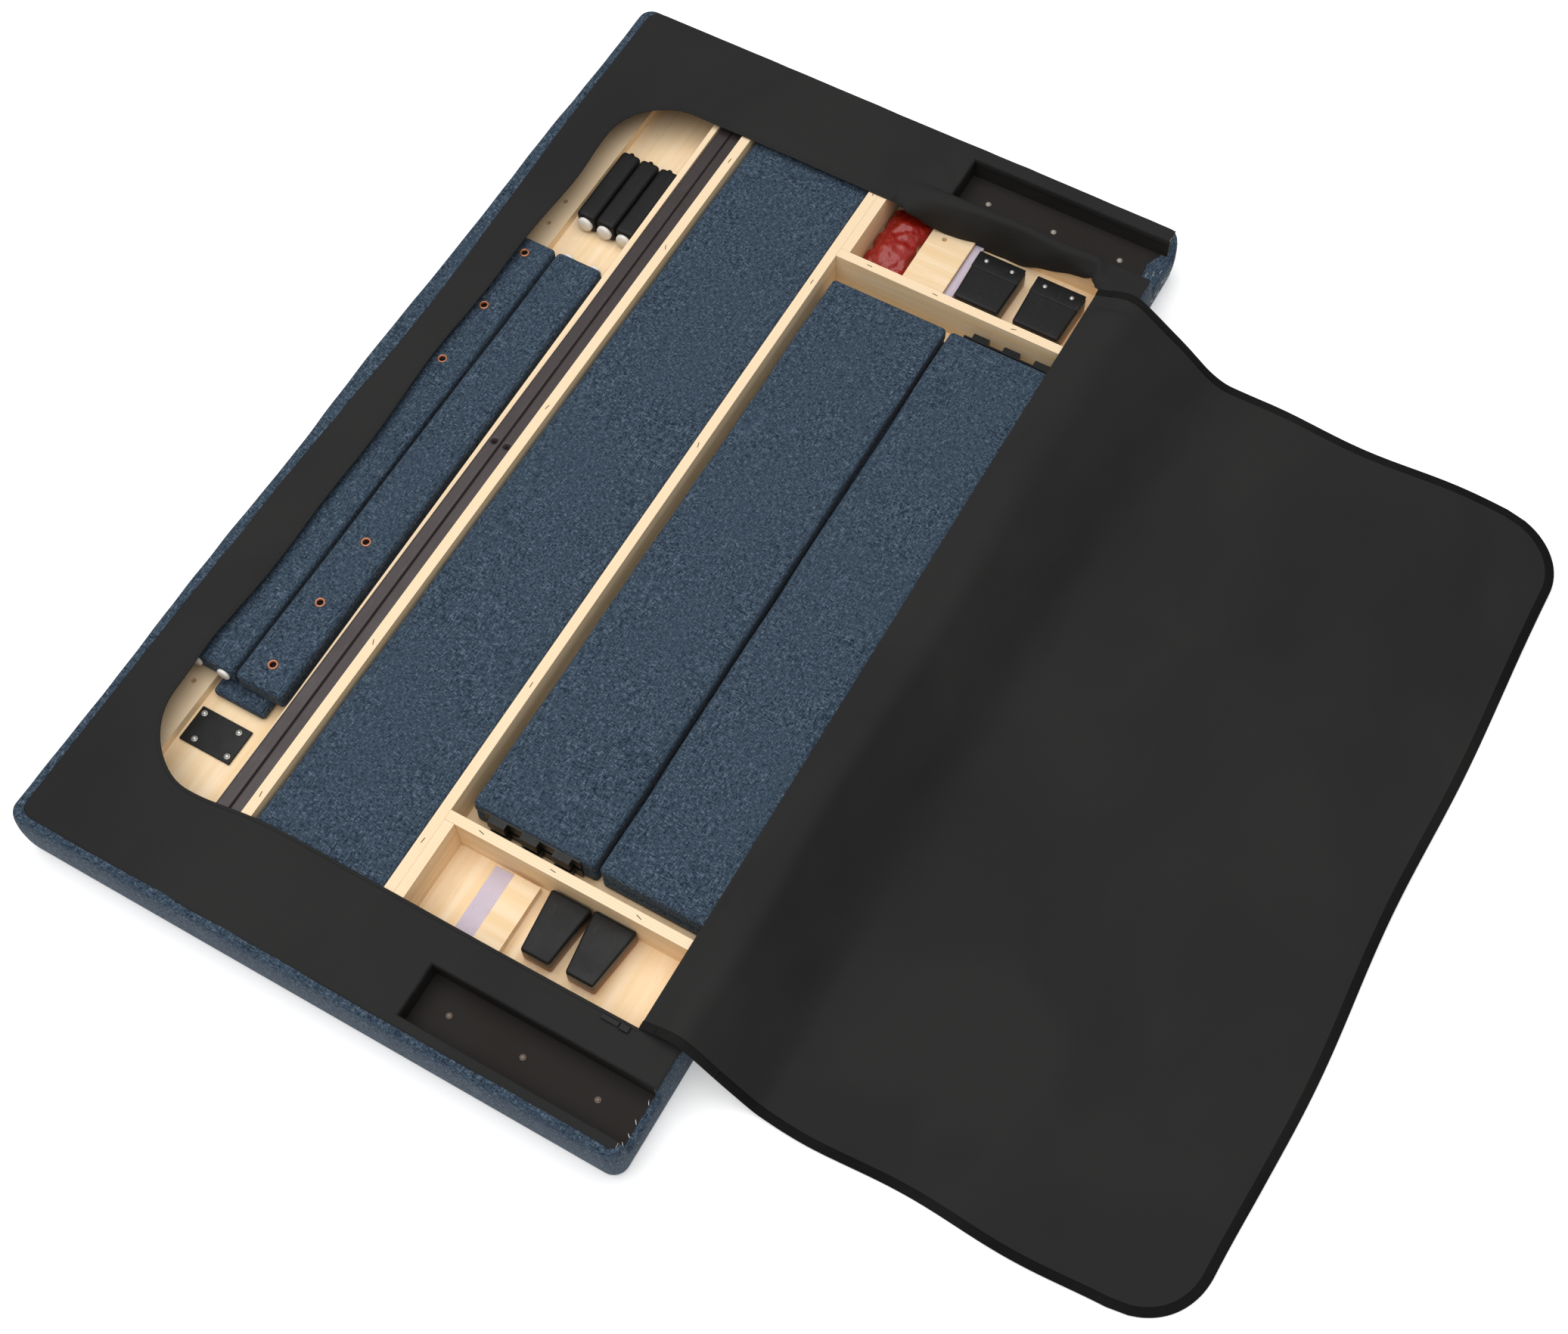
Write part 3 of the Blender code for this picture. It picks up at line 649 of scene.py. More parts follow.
def upholstery_shape(proud, radius):
    """The linen tray: a rounded profile (inset, height) carried round the outline; between the two sides of a
    leg recess the
    part above 40 mm is pressed down so that the linen rolls over the recess floor."""
    low, high = box_of("frame_left")
    half_x, half_y = -low[0], high[1]
    mouth = sorted({box_of("recess_lining_left")[0][0], box_of("recess_lining_left")[1][0]})
    mouth = np.array([mouth[0], mouth[1]])
    edges = np.concatenate([mouth + s * 0.0006 for s in (-1, 1)])
    extra = np.concatenate([edges, -edges])
    outer_x, outer_y = half_x + proud, half_y + proud
    path = resampled(rounded_outline(outer_x, outer_y, radius, 9, extra), 0.014)
    core = np.clip(path, [-outer_x + radius, -outer_y + radius], [outer_x - radius, outer_y - radius])
    outward = path - core
    outward /= np.linalg.norm(outward, axis=1, keepdims=True)
    arc = np.linspace(-math.pi / 2, 0, 7)
    roll = 0.017
    profile = [(0.075, 0.0), (0.04, 0.0)]
    profile += [(roll - roll * math.cos(a), roll + roll * math.sin(a)) for a in arc]
    profile += [(-0.0011, 0.028), (-0.0018, 0.04), (-0.0022, 0.055), (-0.0019, 0.07), (-0.001, 0.083),
        (0.0004, 0.0915), (0.0018, 0.0955)]
    profile += [(0.0042, 0.0973), (0.0066, 0.0974), (0.0085, 0.0972), (0.0087, 0.0964), (0.0087, 0.06),
        (0.0087, 0.0222), (0.075, 0.0222)]
    inset, height = np.array(profile).T
    flange = np.isin(np.arange(len(inset)), len(inset) - 1 - np.array([5, 4]))
    pinch = 0.04
    in_mouth = (path[:, 1] < -half_y) & (np.abs(path[:, 0]) > -mouth[1]) & (np.abs(path[:, 0]) < -mouth[0])
    floor_top = box_of("recess_block_left")[1][2] + 0.0032
    press = (floor_top - pinch) / (0.0975 - pinch)
    scale = np.where(in_mouth, press, 1.0)[:, None]
    z = np.where(height > pinch, pinch + (height - pinch) * scale, height + 0 * scale)
    lapped = smooth(outer_y - radius - 0.008, outer_y - radius, path[:, 1]) + smooth(0.012 - outer_x, 0.002
        - outer_x, path[:, 0])
    lapped = np.minimum(lapped, 1.0) * (1 + 1.7 * bell(path[:, 0], 0.17, 0.3)
        * (path[:, 1] > outer_y - 0.001))
    lapped = lapped[:, None] * flange[None, :]
    bow = 0.0035 * smooth(outer_y - 0.02, outer_y,
        path[:, 1]) * np.cos(np.clip(path[:, 0] / outer_x, -1, 1) * math.pi / 2) * np.sin(path[:, 0] * 7.0
        + 1.2) ** 2
    wave = ripple(path[:, 0], path[:, 1], RNG_SEED, 14, 0.05, 0.21)[:, None]
    soft = np.exp(-(((height - 0.06) / 0.035) ** 2))[None, :] * 0.0007 * wave
    soft = np.where((inset[None, :] < 0.004) & (height[None, :] > 0.02), soft, 0.0)
    soft = soft + bow[:, None] * (inset[None, :] < 0.0065) * smooth(0.02, 0.05, height)[None,
        :] - 0.0078 * lapped
    xy = path[:, None, :] - outward[:, None, :] * (inset[None, :, None] - soft[..., None])
    top_wave = np.where(height[None, :] > 0.09, 0.0005 * wave, 0.0)
    grid = np.concatenate([xy, (z + top_wave)[..., None]], -1)
    rows, cols = grid.shape[:2]
    faces = [list(f) for f in quads(rows, cols, close_rows=True)]
    faces += [list(np.arange(rows)[::-1] * cols), list(np.arange(rows) * cols + cols - 1)]
    return grid.reshape(-1, 3), faces


# ---------------------------------------------------------------- back cloth


OPEN_X = 0.650
OPEN_TOP = 0.385
OPEN_LOW = -0.408
OPEN_RADIUS = 0.100
OUT_X = 0.8065
OUT_LEFT = 0.7975
OUT_Y = 0.4675
OUT_TOP = 0.4575
OUT_RADIUS = 0.016
RECESS_IN = 0.7050
RECESS_OUT = 0.7830
RECESS_END = -0.1350


def out_top(x):
    """The cloth's top edge, which is drawn in a little in the middle."""
    return OUT_TOP - 0.0125 * bell(x, 0.17, 0.3)


def out_x(side):
    """Half width of the back cloth on one side."""
    return OUT_X if side > 0 else OUT_LEFT


def recess_distance(x, y):
    """Distance to the nearer leg recess, whose plan is a rectangle open at the bottom edge."""
    dx = np.maximum(np.maximum(RECESS_IN - np.abs(x), np.abs(x) - RECESS_OUT), 0.0)
    dy = np.maximum(y - RECESS_END, 0.0)
    return np.hypot(dx, dy)


def outline_distance(x, y):
    """Distance inwards from the rounded outline of the back cloth."""
    qx = np.abs(x) - (np.where(x > 0, OUT_X, OUT_LEFT) - OUT_RADIUS)
    qy = np.abs(y) - (np.where(y > 0, out_top(x), OUT_Y) - OUT_RADIUS)
    outside = np.hypot(np.maximum(qx, 0), np.maximum(qy, 0))
    return OUT_RADIUS - outside - np.minimum(np.maximum(qx, qy), 0)


def fillet(distance, radius):
    """Drop of a quarter-round edge at a distance from it."""
    t = np.clip(radius - distance, 0.0, radius)
    return radius - np.sqrt(np.maximum(radius * radius - t * t, 0.0))


def cloth_top(x, y, base):
    """Height of the stretched back cloth: nearly flat, with slow waves, tension folds from the recess
    corners, and rounded falls
    at the recesses and at the outline."""
    z = base + 0.0006 * ripple(x, y, RNG_SEED + 1, 10, 0.12, 0.5)
    z = z + 0.00022 * ripple(x, y, RNG_SEED + 2, 16, 0.03, 0.1)
    for side in (-1, 1):
        along = (x * side - RECESS_IN) * 0.64 + (y - RECESS_END) * 0.77
        across = (x * side - RECESS_IN) * 0.77 - (y - RECESS_END) * 0.64
        z = z + 0.0016 * bell(across, 0.004, 0.007) * smooth(-0.01, 0.01, along) * smooth(0.11, 0.03, along)
        z = z - 0.0012 * bell(across, 0.022, 0.009) * smooth(0.0, 0.02, along) * smooth(0.09, 0.03, along)
    z = z - fillet(recess_distance(x, y), 0.0032)
    return z - fillet(outline_distance(x, y), 0.0045) * 0.8


def zip_ridge(distance):
    """Zip half along the opening: a raised coil on the first 4 mm, then a slightly sunk tape up to 14 mm."""
    coil = np.sqrt(np.clip(1.0 - ((distance - 0.0022) / 0.0021) ** 2, 0.0, 1.0)) * 0.0016
    stitched = -0.0005 * bell(distance, 0.0125, 0.0012)
    return coil + stitched


def strip_steps(near_start=True):
    """Distances across a strip: close together along the zip and at the outer edge."""
    head = np.array([0, 0.5, 1.2, 2.2, 3.2, 3.9, 4.4, 6.0, 9.0, 11.0, 12.5,
        14.0]) * MM if near_start else np.array([0.0])
    tail = np.array([7.0, 5.0, 3.5, 2.2, 1.2, 0.5, 0.0]) * MM
    return head, tail


def ring_patch(inner, outer, base, middle=12):
    """Cloth between two matching lines of (x, y) points: straight rows from the zip to the outline, heights
    from cloth_top."""
    head, tail = strip_steps()
    width = np.linalg.norm(outer - inner, axis=1)[:, None]
    part = np.linspace(0, 1, middle + 2)[1:-1][None, :]
    between = head[-1] + (width - tail[0] - head[-1]) * part
    steps = np.concatenate([head[None, :] + 0 * width, between, width - tail[None, :]], 1)
    way = (outer - inner)[:, None, :] / width[..., None]
    xy = inner[:, None, :] + way * steps[..., None]
    z = cloth_top(xy[..., 0], xy[..., 1], base) + zip_ridge(steps)
    return np.concatenate([xy, z[..., None]], -1)


def corner_bulge(y):
    """How far the opening stands out beyond its straight side near the left upper corner."""
    return 0.013 * bell(y, 0.275, 0.075)


def side_lines(side, low, high, step=0.011):
    """Matching inner and outer lines of a side strip between two heights."""
    y = np.linspace(low, high, max(3, int((high - low) / step) + 1))
    reach = OPEN_X + (corner_bulge(y) if side < 0 else 0.0)
    inner = np.stack([side * (reach + 0 * y), y], -1)
    outer = np.stack([np.full_like(y, side * out_x(side)), y], -1)
    return inner, outer


def opening_waver(x):
    """Slack of the zip edge along the top of the opening: slow waves that die out at both corners."""
    inside = smooth(-0.55, -0.45, x) * smooth(0.55, 0.45, x)
    return inside * (0.003 * np.sin(x * 9.0 + 0.4) + 0.0018 * np.sin(x * 23.0))


def top_lines(left, right, step=0.011):
    x = np.linspace(left, right, max(3, int((right - left) / step) + 1))
    return np.stack([x, OPEN_TOP + opening_waver(x)], -1), np.stack([x, out_top(x)], -1)


def corner_lines(side):
    """Matching lines round an upper corner: the opening's quarter circle against the outline's side, round
    and top."""
    angle = np.linspace(0, math.pi / 2, 27)
    inner = np.stack([OPEN_X - OPEN_RADIUS + OPEN_RADIUS * np.cos(angle), OPEN_TOP - OPEN_RADIUS
        + OPEN_RADIUS * np.sin(angle)], -1)
    turn = np.linspace(0, math.pi / 2, 9)
    round_x = out_x(side) - OUT_RADIUS + OUT_RADIUS * np.cos(turn)
    top = out_top(side * (OPEN_X - OPEN_RADIUS))
    round_y = top - OUT_RADIUS + OUT_RADIUS * np.sin(turn)
    xs = np.concatenate([[out_x(side)], round_x, [OPEN_X - OPEN_RADIUS]])
    ys = np.concatenate([[OPEN_TOP - OPEN_RADIUS], round_y, [top]])
    run = np.concatenate([[0], np.cumsum(np.hypot(np.diff(xs), np.diff(ys)))])
    even = np.linspace(0, 1, 27)
    where = run[-1] * even
    outer = np.stack([np.interp(where, run, xs), np.interp(where, run, ys)], -1)
    if side < 0:
        inner[:, 0] += corner_bulge(inner[:, 1]) * np.cos(angle)
    return inner * [side, 1], outer * [side, 1]


def facing_up(grid):
    """The grid turned over where its normals point down."""
    return grid if grid_normals(grid)[..., 2].mean() > 0 else grid[::-1]


def droop(y):
    """How far the loose cloth has slipped down beside the right compartment, by distance along it."""
    knots_y = np.array([-0.408, -0.400, -0.385, -0.36, -0.33, -0.30, -0.275, -0.23, -0.195, -0.16, -0.12,
        -0.09, -0.06])
    depth = np.array([0.0, 4, 26, 35, 43, 55, 66, 69, 69, 62, 42, 20, 0.0]) * MM
    fine = np.interp(y, knots_y, depth)
    return fine


def slack_strip(side, base):
    """The strip between the opening and a recess. On the left it lies flat; on the right it has slipped off
    the board: a soft
    hump over the board's top, then a fall to the free zip edge."""
    y = np.linspace(OPEN_LOW, -0.06, 75)
    if side < 0:
        inner = np.stack([np.full_like(y, -OPEN_X), y], -1)
        outer = np.stack([np.full_like(y, -RECESS_IN), y], -1)
        grid = ring_patch(inner, outer, base, 8)
        fall = 0.0035 * np.sin(np.clip((y - OPEN_LOW) / (-0.06 - OPEN_LOW), 0, 1) * math.pi)
        inwards = smooth(RECESS_IN - 0.01, OPEN_X, np.abs(grid[..., 0]))
        grid[..., 2] -= fall[:, None] * inwards
        return grid
    depth = droop(y)
    eased = np.convolve(np.pad(depth, 3, mode="edge"), np.ones(7) / 7, mode="valid")
    depth = np.where((y > -0.402) & (y < -0.066), eased, depth)
    slid = smooth(0.0, 0.02, depth)
    edge_x = np.interp(y, [OPEN_LOW, -0.400, -0.385, -0.19, -0.06], [OPEN_X, 0.656, 0.684, 0.684, OPEN_X])
    a = np.concatenate([[0, 0.01, 0.03, 0.06], np.linspace(0.1, 0.86, 26),
        [0.9, 0.92, 0.94, 0.96, 0.975, 0.99, 1.0]])[None, :]
    across = smooth(0.0, 0.62, a) * slid[:, None] + a * (1 - slid[:, None])
    x = RECESS_IN - (RECESS_IN - edge_x[:, None]) * across
    bulge = 0.0065 * slid[:, None] * np.sin(math.pi * smooth(0.45, 1.0, a)) * (0.6 + 0.5
        * np.sin(y[:, None] * 61))
    x = x - bulge
    hump = 0.0062 * slid[:, None] * bell(a, 0.3, 0.2) * (1 + 0.35 * np.sin(y[:, None] * 47 + 1.0))
    z = cloth_top(np.maximum(x, 0.675), y[:, None] + 0 * x, base) + hump * smooth(0.0, 0.2, a) - depth[:,
        None] * smooth(0.38, 1.0, a)
    z = z + 0.0012 * slid[:, None] * np.sin(y[:, None] * 118 + a * 5) * a
    width = np.maximum(depth, 0.04)[:, None]
    z = z + zip_ridge((1 - a) * width) * 0.8
    return np.stack([x, y[:, None] + 0 * x, z], -1)


def shoulder(side, base):
    """The cloth beyond the recess's end, from the strip to the outline."""
    head, tail = strip_steps(near_start=False)
    x = np.concatenate([np.linspace(RECESS_IN, out_x(side) - 0.008, 20), out_x(side) - tail])
    y = np.linspace(-0.118, -0.06, 12)
    xx, yy = np.meshgrid(side * x, y, indexing="ij")
    return np.stack([xx, yy, cloth_top(xx, yy, base)], -1)


def lip(side, base):
    """The rounded end of the recess, with a hem turned down into it."""
    x = np.linspace(RECESS_IN, RECESS_OUT, 16)
    y = RECESS_END + np.array([17, 14, 10, 6, 4.2, 2.8, 1.7, 0.8, 0.2, 0.0]) * MM
    xx, yy = np.meshgrid(side * x, y, indexing="ij")
    top = np.stack([xx, yy, cloth_top(xx, yy, base)], -1)
    hem = np.repeat(top[:, -1:, :], 3, axis=1)
    hem[..., 1] -= 0.0004
    hem[..., 2] -= np.array([2.0, 4.5, 7.5]) * MM
    return np.concatenate([top, hem], 1)


def rim(side, base):
    """The narrow band between a recess and the side of the headboard, turned down into the recess."""
    y = np.linspace(-0.4605, -0.118, 60)
    x = np.concatenate([RECESS_OUT + np.array([0, 0.2, 0.8, 1.8, 3.0, 4.5, 6]) * MM, out_x(side)
        - np.array([6.5, 4.5, 3, 1.8, 0.8, 0]) * MM])
    xx, yy = np.meshgrid(side * x, y, indexing="ij")
    top = np.stack([xx, yy, cloth_top(xx, yy, base)], -1)
    hem = np.repeat(top[:1], 3, axis=0)
    hem[..., 0] -= side * 0.0004
    hem[..., 2] -= (np.array([7.5, 4.5, 2.0]) * MM)[:, None]
    keep = smooth(RECESS_END + 0.001, RECESS_END - 0.001, hem[..., 1])
    hem[..., 2] = top[:1, :, 2] - (top[:1, :, 2] - hem[..., 2]) * keep
    return np.concatenate([hem, top], 0)


def strip_hem(side, base):
    """The strip's own hem, turned down into the recess along its inner side."""
    y = np.linspace(-0.4605, RECESS_END, 60)
    x = np.full_like(y, side * RECESS_IN)
    top = cloth_top(x, y, base)
    rows = [np.stack([x + side * 0.0004 * (k > 0), y, top - drop * MM], -1) for k,
        drop in enumerate((0.0, 2.0, 4.5, 7.5))]
    return np.stack(rows, 0)


def foot_strip(base):
    """The band below the opening that the cover is sewn to."""
    x = np.concatenate([-RECESS_IN + np.array([0, 0.2, 0.8, 1.8, 3, 4.5, 6, 9]) * MM,
        np.linspace(-0.69, 0.69, 116), RECESS_IN - np.array([9, 6, 4.5, 3, 1.8, 0.8, 0.2, 0]) * MM])
    y = np.concatenate([np.linspace(OPEN_LOW, -0.460, 12), -OUT_Y + np.array([6, 4.5, 3, 1.8, 0.8, 0]) * MM])
    xx, yy = np.meshgrid(x, y, indexing="ij")
    return np.stack([xx, yy, cloth_top(xx, yy, base)], -1)


def zone(value, low0, low1, high1, high0):
    """0 outside low0..high0, 1 between low1 and high1, smooth between."""
    return smooth(low0, low1, value) * smooth(high0, high1, value)


def side_weight(points, low0, low1, high1, high0):
    """How much a side strip is lifted by the part under it: fully inside |x| 742 mm, not at all beyond 785
    mm."""
    return zone(points[:, 1], low0, low1, high1, high0) * smooth(0.785, 0.742, np.abs(points[:, 0]))


def top_weight(points):
    """How much the top strip is lifted by the leg board under it."""
    return zone(points[:, 0], -0.55, -0.492, 0.334, 0.394) * smooth(0.443, 0.412, points[:, 1])


# ---------------------------------------------------------------- cover


def cover_grid(crest_at):
    """The opened cover as rows of constant x and columns of constant cloth distance from the hinge. The slope
    angle along the cloth
    rises from the hinge, turns over the crest, falls, and flattens on the floor; the points are its running
    sum."""
    wide, long, radius = 0.650, 0.798, OPEN_RADIUS
    x = np.unique(np.round(np.concatenate([np.linspace(-wide, wide, 131),
        np.linspace(wide - 0.1, wide, 26), -np.linspace(wide - 0.1, wide, 26)]), 6))
    over = np.clip((np.abs(x) - (wide - radius)) / radius, 0, 1)
    reach = long - radius * (1 - np.sqrt(np.maximum(1 - over**2, 0)))
    hem_end, slope_end = 0.026, 0.130
    fixed = np.concatenate([np.linspace(0, hem_end, 9), np.linspace(hem_end, slope_end, 36)[1:]])
    part = np.linspace(0, 1, 105)[1:]
    s = np.concatenate([np.repeat(fixed[None, :], len(x), 0), slope_end + (reach[:, None] - slope_end)
        * part[None, :]], 1)
    at = x[:, None]
    up = np.radians(13 + 10 * smooth(-0.42, -0.64, at) + 10 * smooth(0.35, 0.64, at) + 1.6 * np.sin(at * 9))
    down = np.radians(45 - 8 * smooth(-0.5, 0.6, at) + 2.2 * np.sin(at * 7 + 0.6))
    crest = crest_at + 0.004 * np.sin(at * 11 + 1)
    over_half = 0.026 + 0.008 * np.sin(at * 5)
    land_half = 0.046 + 0.012 * smooth(-0.4, 0.5, at)
    land = crest + 0.15
    start = 0.0995
    ds = np.diff(s, axis=1)
    for _ in range(4):
        angle = up - (up + down) * smooth(crest - over_half, crest + over_half, s) + down * smooth(land
            - land_half, land + land_half, s)
        middle = (angle[:, 1:] + angle[:, :-1]) / 2
        z = start + np.concatenate([0 * at, np.cumsum(np.sin(middle) * ds, 1)], 1)
        land = land + (z[:, -1:] - 0.0016) / np.sin(down)
    y = OPEN_LOW - np.concatenate([0 * at, np.cumsum(np.cos(middle) * ds, 1)], 1)
    xx = at + 0 * s
    grid = np.stack([xx, y, z], -1)
    normal = grid_normals(grid)
    normal *= np.sign(normal[..., 2:])
    lift = 0.0016 * ripple(xx, s, RNG_SEED + 5, 9, 0.22, 0.6) + 0.0006 * ripple(xx, s, RNG_SEED + 6, 14,
        0.07, 0.18)
    lift = lift - 0.005 * bell(xx, 0.622, 0.008) * smooth(0.13, 0.01, s) + 0.003 * bell(xx, 0.6,
        0.016) * smooth(0.16, 0.03, s)
    lift = lift + 0.0022 * bell(xx + s * 0.4, -0.6, 0.03) * smooth(0.0, 0.04, s) * smooth(0.2, 0.08, s)
    lying = smooth(0.012, 0.002, z)
    lift = lift * (1 - lying) + lying * (0.0016 + 0.0014 * np.sin(xx * 10.5 + s * 6)
        * np.sin(s * 12 + xx * 3 + 1))
    grid = grid + normal * (lift * smooth(0.0, 0.02, s))[..., None]
    grid[..., 0] += 0.0035 * np.sin(s * 21 + np.sign(xx)) * smooth(0.5, 0.65, np.abs(xx)) * smooth(0.15,
        0.3, s)
    grid[..., 1] += 0.003 * np.sin(xx * 13 + 2) * smooth(0.6, 0.79, s)
    grid[..., 2] = np.maximum(grid[..., 2], 0.0014)
    return grid, s, len(np.linspace(0, hem_end, 9)) - 1, len(fixed) - 1


def swept_band(line, normals, width, thickness):
    """A flat rounded band carried along a line on a surface: an ellipse-like profile across (normal x
    tangent) and normal."""
    tangent = np.gradient(line, axis=0)
    tangent /= np.linalg.norm(tangent, axis=1, keepdims=True)
    across = np.cross(normals, tangent)
    across /= np.linalg.norm(across, axis=1, keepdims=True)
    turn = np.linspace(0, math.tau, 14, endpoint=False)
    u = width / 2 * np.sign(np.cos(turn)) * np.abs(np.cos(turn)) ** 0.6
    v = thickness / 2 * np.sign(np.sin(turn)) * np.abs(np.sin(turn)) ** 0.75
    centre = line + across * width * 0.42
    grid = centre[:, None, :] + across[:, None, :] * u[None, :, None] + normals[:, None, :] * v[None, :, None]
    rows, cols = grid.shape[:2]
    faces = [list(f) for f in quads(rows, cols, close_cols=True, flip=True)]
    faces += [list(range(cols)), list(range((rows - 1) * cols, rows * cols))[::-1]]
    return grid.reshape(-1, 3), faces


# ---------------------------------------------------------------- boards and small parts


def wrapped_board_shape(node, radius, crown, seed, holes=(), grow=0.0):
    """A board wrapped in foam and linen: a rounded box in the node's space whose top rises to a crown, whose
    long sides pull in
    and out a little, and whose top dips steeply at each hole."""
    low, high = box_of(node)
    low, high = low + [grow, grow, 0], high - [grow, grow, 0]
    points, faces = rounded_box(low, high - [0, 0, crown], radius, 0.016, [h[0] for h in holes],
        [holes[0][1]] if len(holes) else ())
    mid, half = (low + high) / 2, (high - low) / 2
    u, v = (points[:, 0] - mid[0]) / half[0], (points[:, 1] - mid[1]) / half[1]
    upper = smooth(low[2], high[2] - crown, points[:, 2])
    dome = (1 - np.abs(u) ** 8) * (1 - np.abs(v) ** 3.2)
    points[:, 2] += crown * dome * upper
    points[:, 2] += 0.0005 * ripple(points[:, 0], points[:, 1], seed, 12, 0.05, 0.3) * upper * np.clip(dome
        * 2, 0, 1)
    wobble = 0.0007 * ripple(points[:, 0], points[:, 2] * 3, seed + 1, 8, 0.08, 0.4)
    points[:, 1] += wobble * smooth(0.8, 1.0, np.abs(v)) * np.sign(v)
    points[:, 1] = np.clip(points[:, 1], low[1] + 0.0001, high[1] - 0.0001)
    for hx, hy in holes:
        away = np.hypot(points[:, 0] - hx, points[:, 1] - hy)
        points[:, 2] -= 0.011 * smooth(0.0058, 0.0042, away) * (points[:, 2] > mid[2])
        points[:, 2] -= 0.0008 * bell(away, 0.0, 0.012) * (points[:, 2] > mid[2])
    return points, faces


def tube_shape(low, high, hole_x):
    """A rectangular steel tube: a rounded box with a drilled hole in its top."""
    mid_y = (low[1] + high[1]) / 2
    points, faces = rounded_box(low, high, 0.0035, 0.05, [hole_x], [mid_y])
    away = np.hypot(points[:, 0] - hole_x, points[:, 1] - mid_y)
    points[:, 2] -= 0.012 * smooth(0.0048, 0.0036, away) * (points[:, 2] > high[2] - 0.004)
    return points, faces


def foot_shape(low, high, wide, narrow, radius=0.005):
    """A tapered foot lying on its side: a rounded box whose width goes from narrow to wide along x."""
    points, faces = rounded_box(low, high, radius, 0.012)
    along = (points[:, 0] - low[0]) / (high[0] - low[0])
    mid_y = (low[1] + high[1]) / 2
    share = (narrow + (wide - narrow) * along) / (high[1] - low[1])
    points[:, 1] = mid_y + (points[:, 1] - mid_y) * share
    return points, faces


def bag_shape(low, high):
    """A crumpled film bag: a pillow whose height falls off to its edges, broken by ridges from folded noise
    and by round lumps."""
    points, faces = rounded_box(low, high, 0.009, 0.0032)
    mid, half = (low + high) / 2, (high - low) / 2
    u, v = (points[:, 0] - mid[0]) / half[0], (points[:, 1] - mid[1]) / half[1]
    upper = smooth(low[2], high[2], points[:, 2])
    ridge = 1 - np.abs(ripple(points[:, 0], points[:, 1], RNG_SEED + 9, 9, 0.018, 0.05))
    fine = 1 - np.abs(ripple(points[:, 0], points[:, 1], RNG_SEED + 10, 9, 0.007, 0.018))
    lump = 0.006 * bell(u, 0.45, 0.35) * bell(v, 0.0, 0.5) + 0.005 * bell(u, -0.45, 0.3) * bell(v, 0.2, 0.4)
    pillow = (1 - np.abs(u) ** 3) * (1 - np.abs(v) ** 3)
    points[:, 2] += upper * (lump + 0.003 * ridge + 0.0016 * fine - 0.011 * (1 - pillow))
    points[:, 1] += 0.0022 * v * ripple(points[:, 0], points[:, 2], RNG_SEED + 11, 7, 0.02, 0.06)
    points[:, 0] += 0.0022 * u * ripple(points[:, 1], points[:, 2], RNG_SEED + 12, 7, 0.02, 0.06)
    points[:, 2] = np.maximum(points[:, 2], low[2])
    return points, faces


def staple_shape(centre, direction, half_length, gauge):
    """One staple crown: a rounded bar whose ends turn down."""
    centre, direction = np.array(centre, float), np.array(direction, float)
    direction /= np.linalg.norm(direction)
    s = np.linspace(-1, 1, 9)
    line = centre + direction * half_length * s[:, None]
    line[:, 2] -= gauge * 1.6 * np.abs(s) ** 6
    side = np.cross([0.0, 0.0, 1.0], direction)
    turn = np.linspace(0, math.tau, 6, endpoint=False)
    ring = side[None, :] * np.cos(turn)[:, None] * gauge + np.array([0, 0, 1.0])[None, :] * np.sin(turn)[:,
        None] * gauge * 0.7
    grid = line[:, None, :] + ring[None, :, :]
    faces = [list(f) for f in quads(9, 6, close_cols=True)]
    faces += [list(range(6))[::-1], list(range(48, 54))]
    return grid.reshape(-1, 3), faces


def fold_grid(floor):
    """Linen folded over the mouth of the right recess and stapled to its floor: a strip whose inner edge
    wanders with three sines."""
    x = np.linspace(RECESS_IN + 0.0008, RECESS_OUT - 0.0008, 40)[:, None]
    part = np.linspace(0, 1, 12)[None, :]
    edge = -0.4455 + 0.004 * np.sin(x * 62) + 0.0022 * np.sin(x * 150 + 1) + 0.001 * np.sin(x * 410)
    y = -0.4685 + (edge + 0.4685) * part
    z = floor + 0.0016 + 0.0009 * np.sin(x * 130 + part * 4) * np.sin(part * math.pi) + 0.0012 * (1
        - part) ** 2
    return facing_up(np.stack([x + 0 * y, y, z + 0 * y], -1))


def screw_head(centre, radius, height, axis="z", segments=16):
    """A domed head on a flat washer: quarter-ellipse profile turned about its axis."""
    turn = np.linspace(0, math.pi / 2 - 0.12, 5)
    dome = [(radius * 0.72 * math.cos(a), height * (0.35 + 0.65 * math.sin(a))) for a in turn]
    return lathe([(radius, 0.0), (radius, height * 0.25), (radius * 0.8, height * 0.32), *dome], centre,
        axis, segments)


# ---------------------------------------------------------------- operators


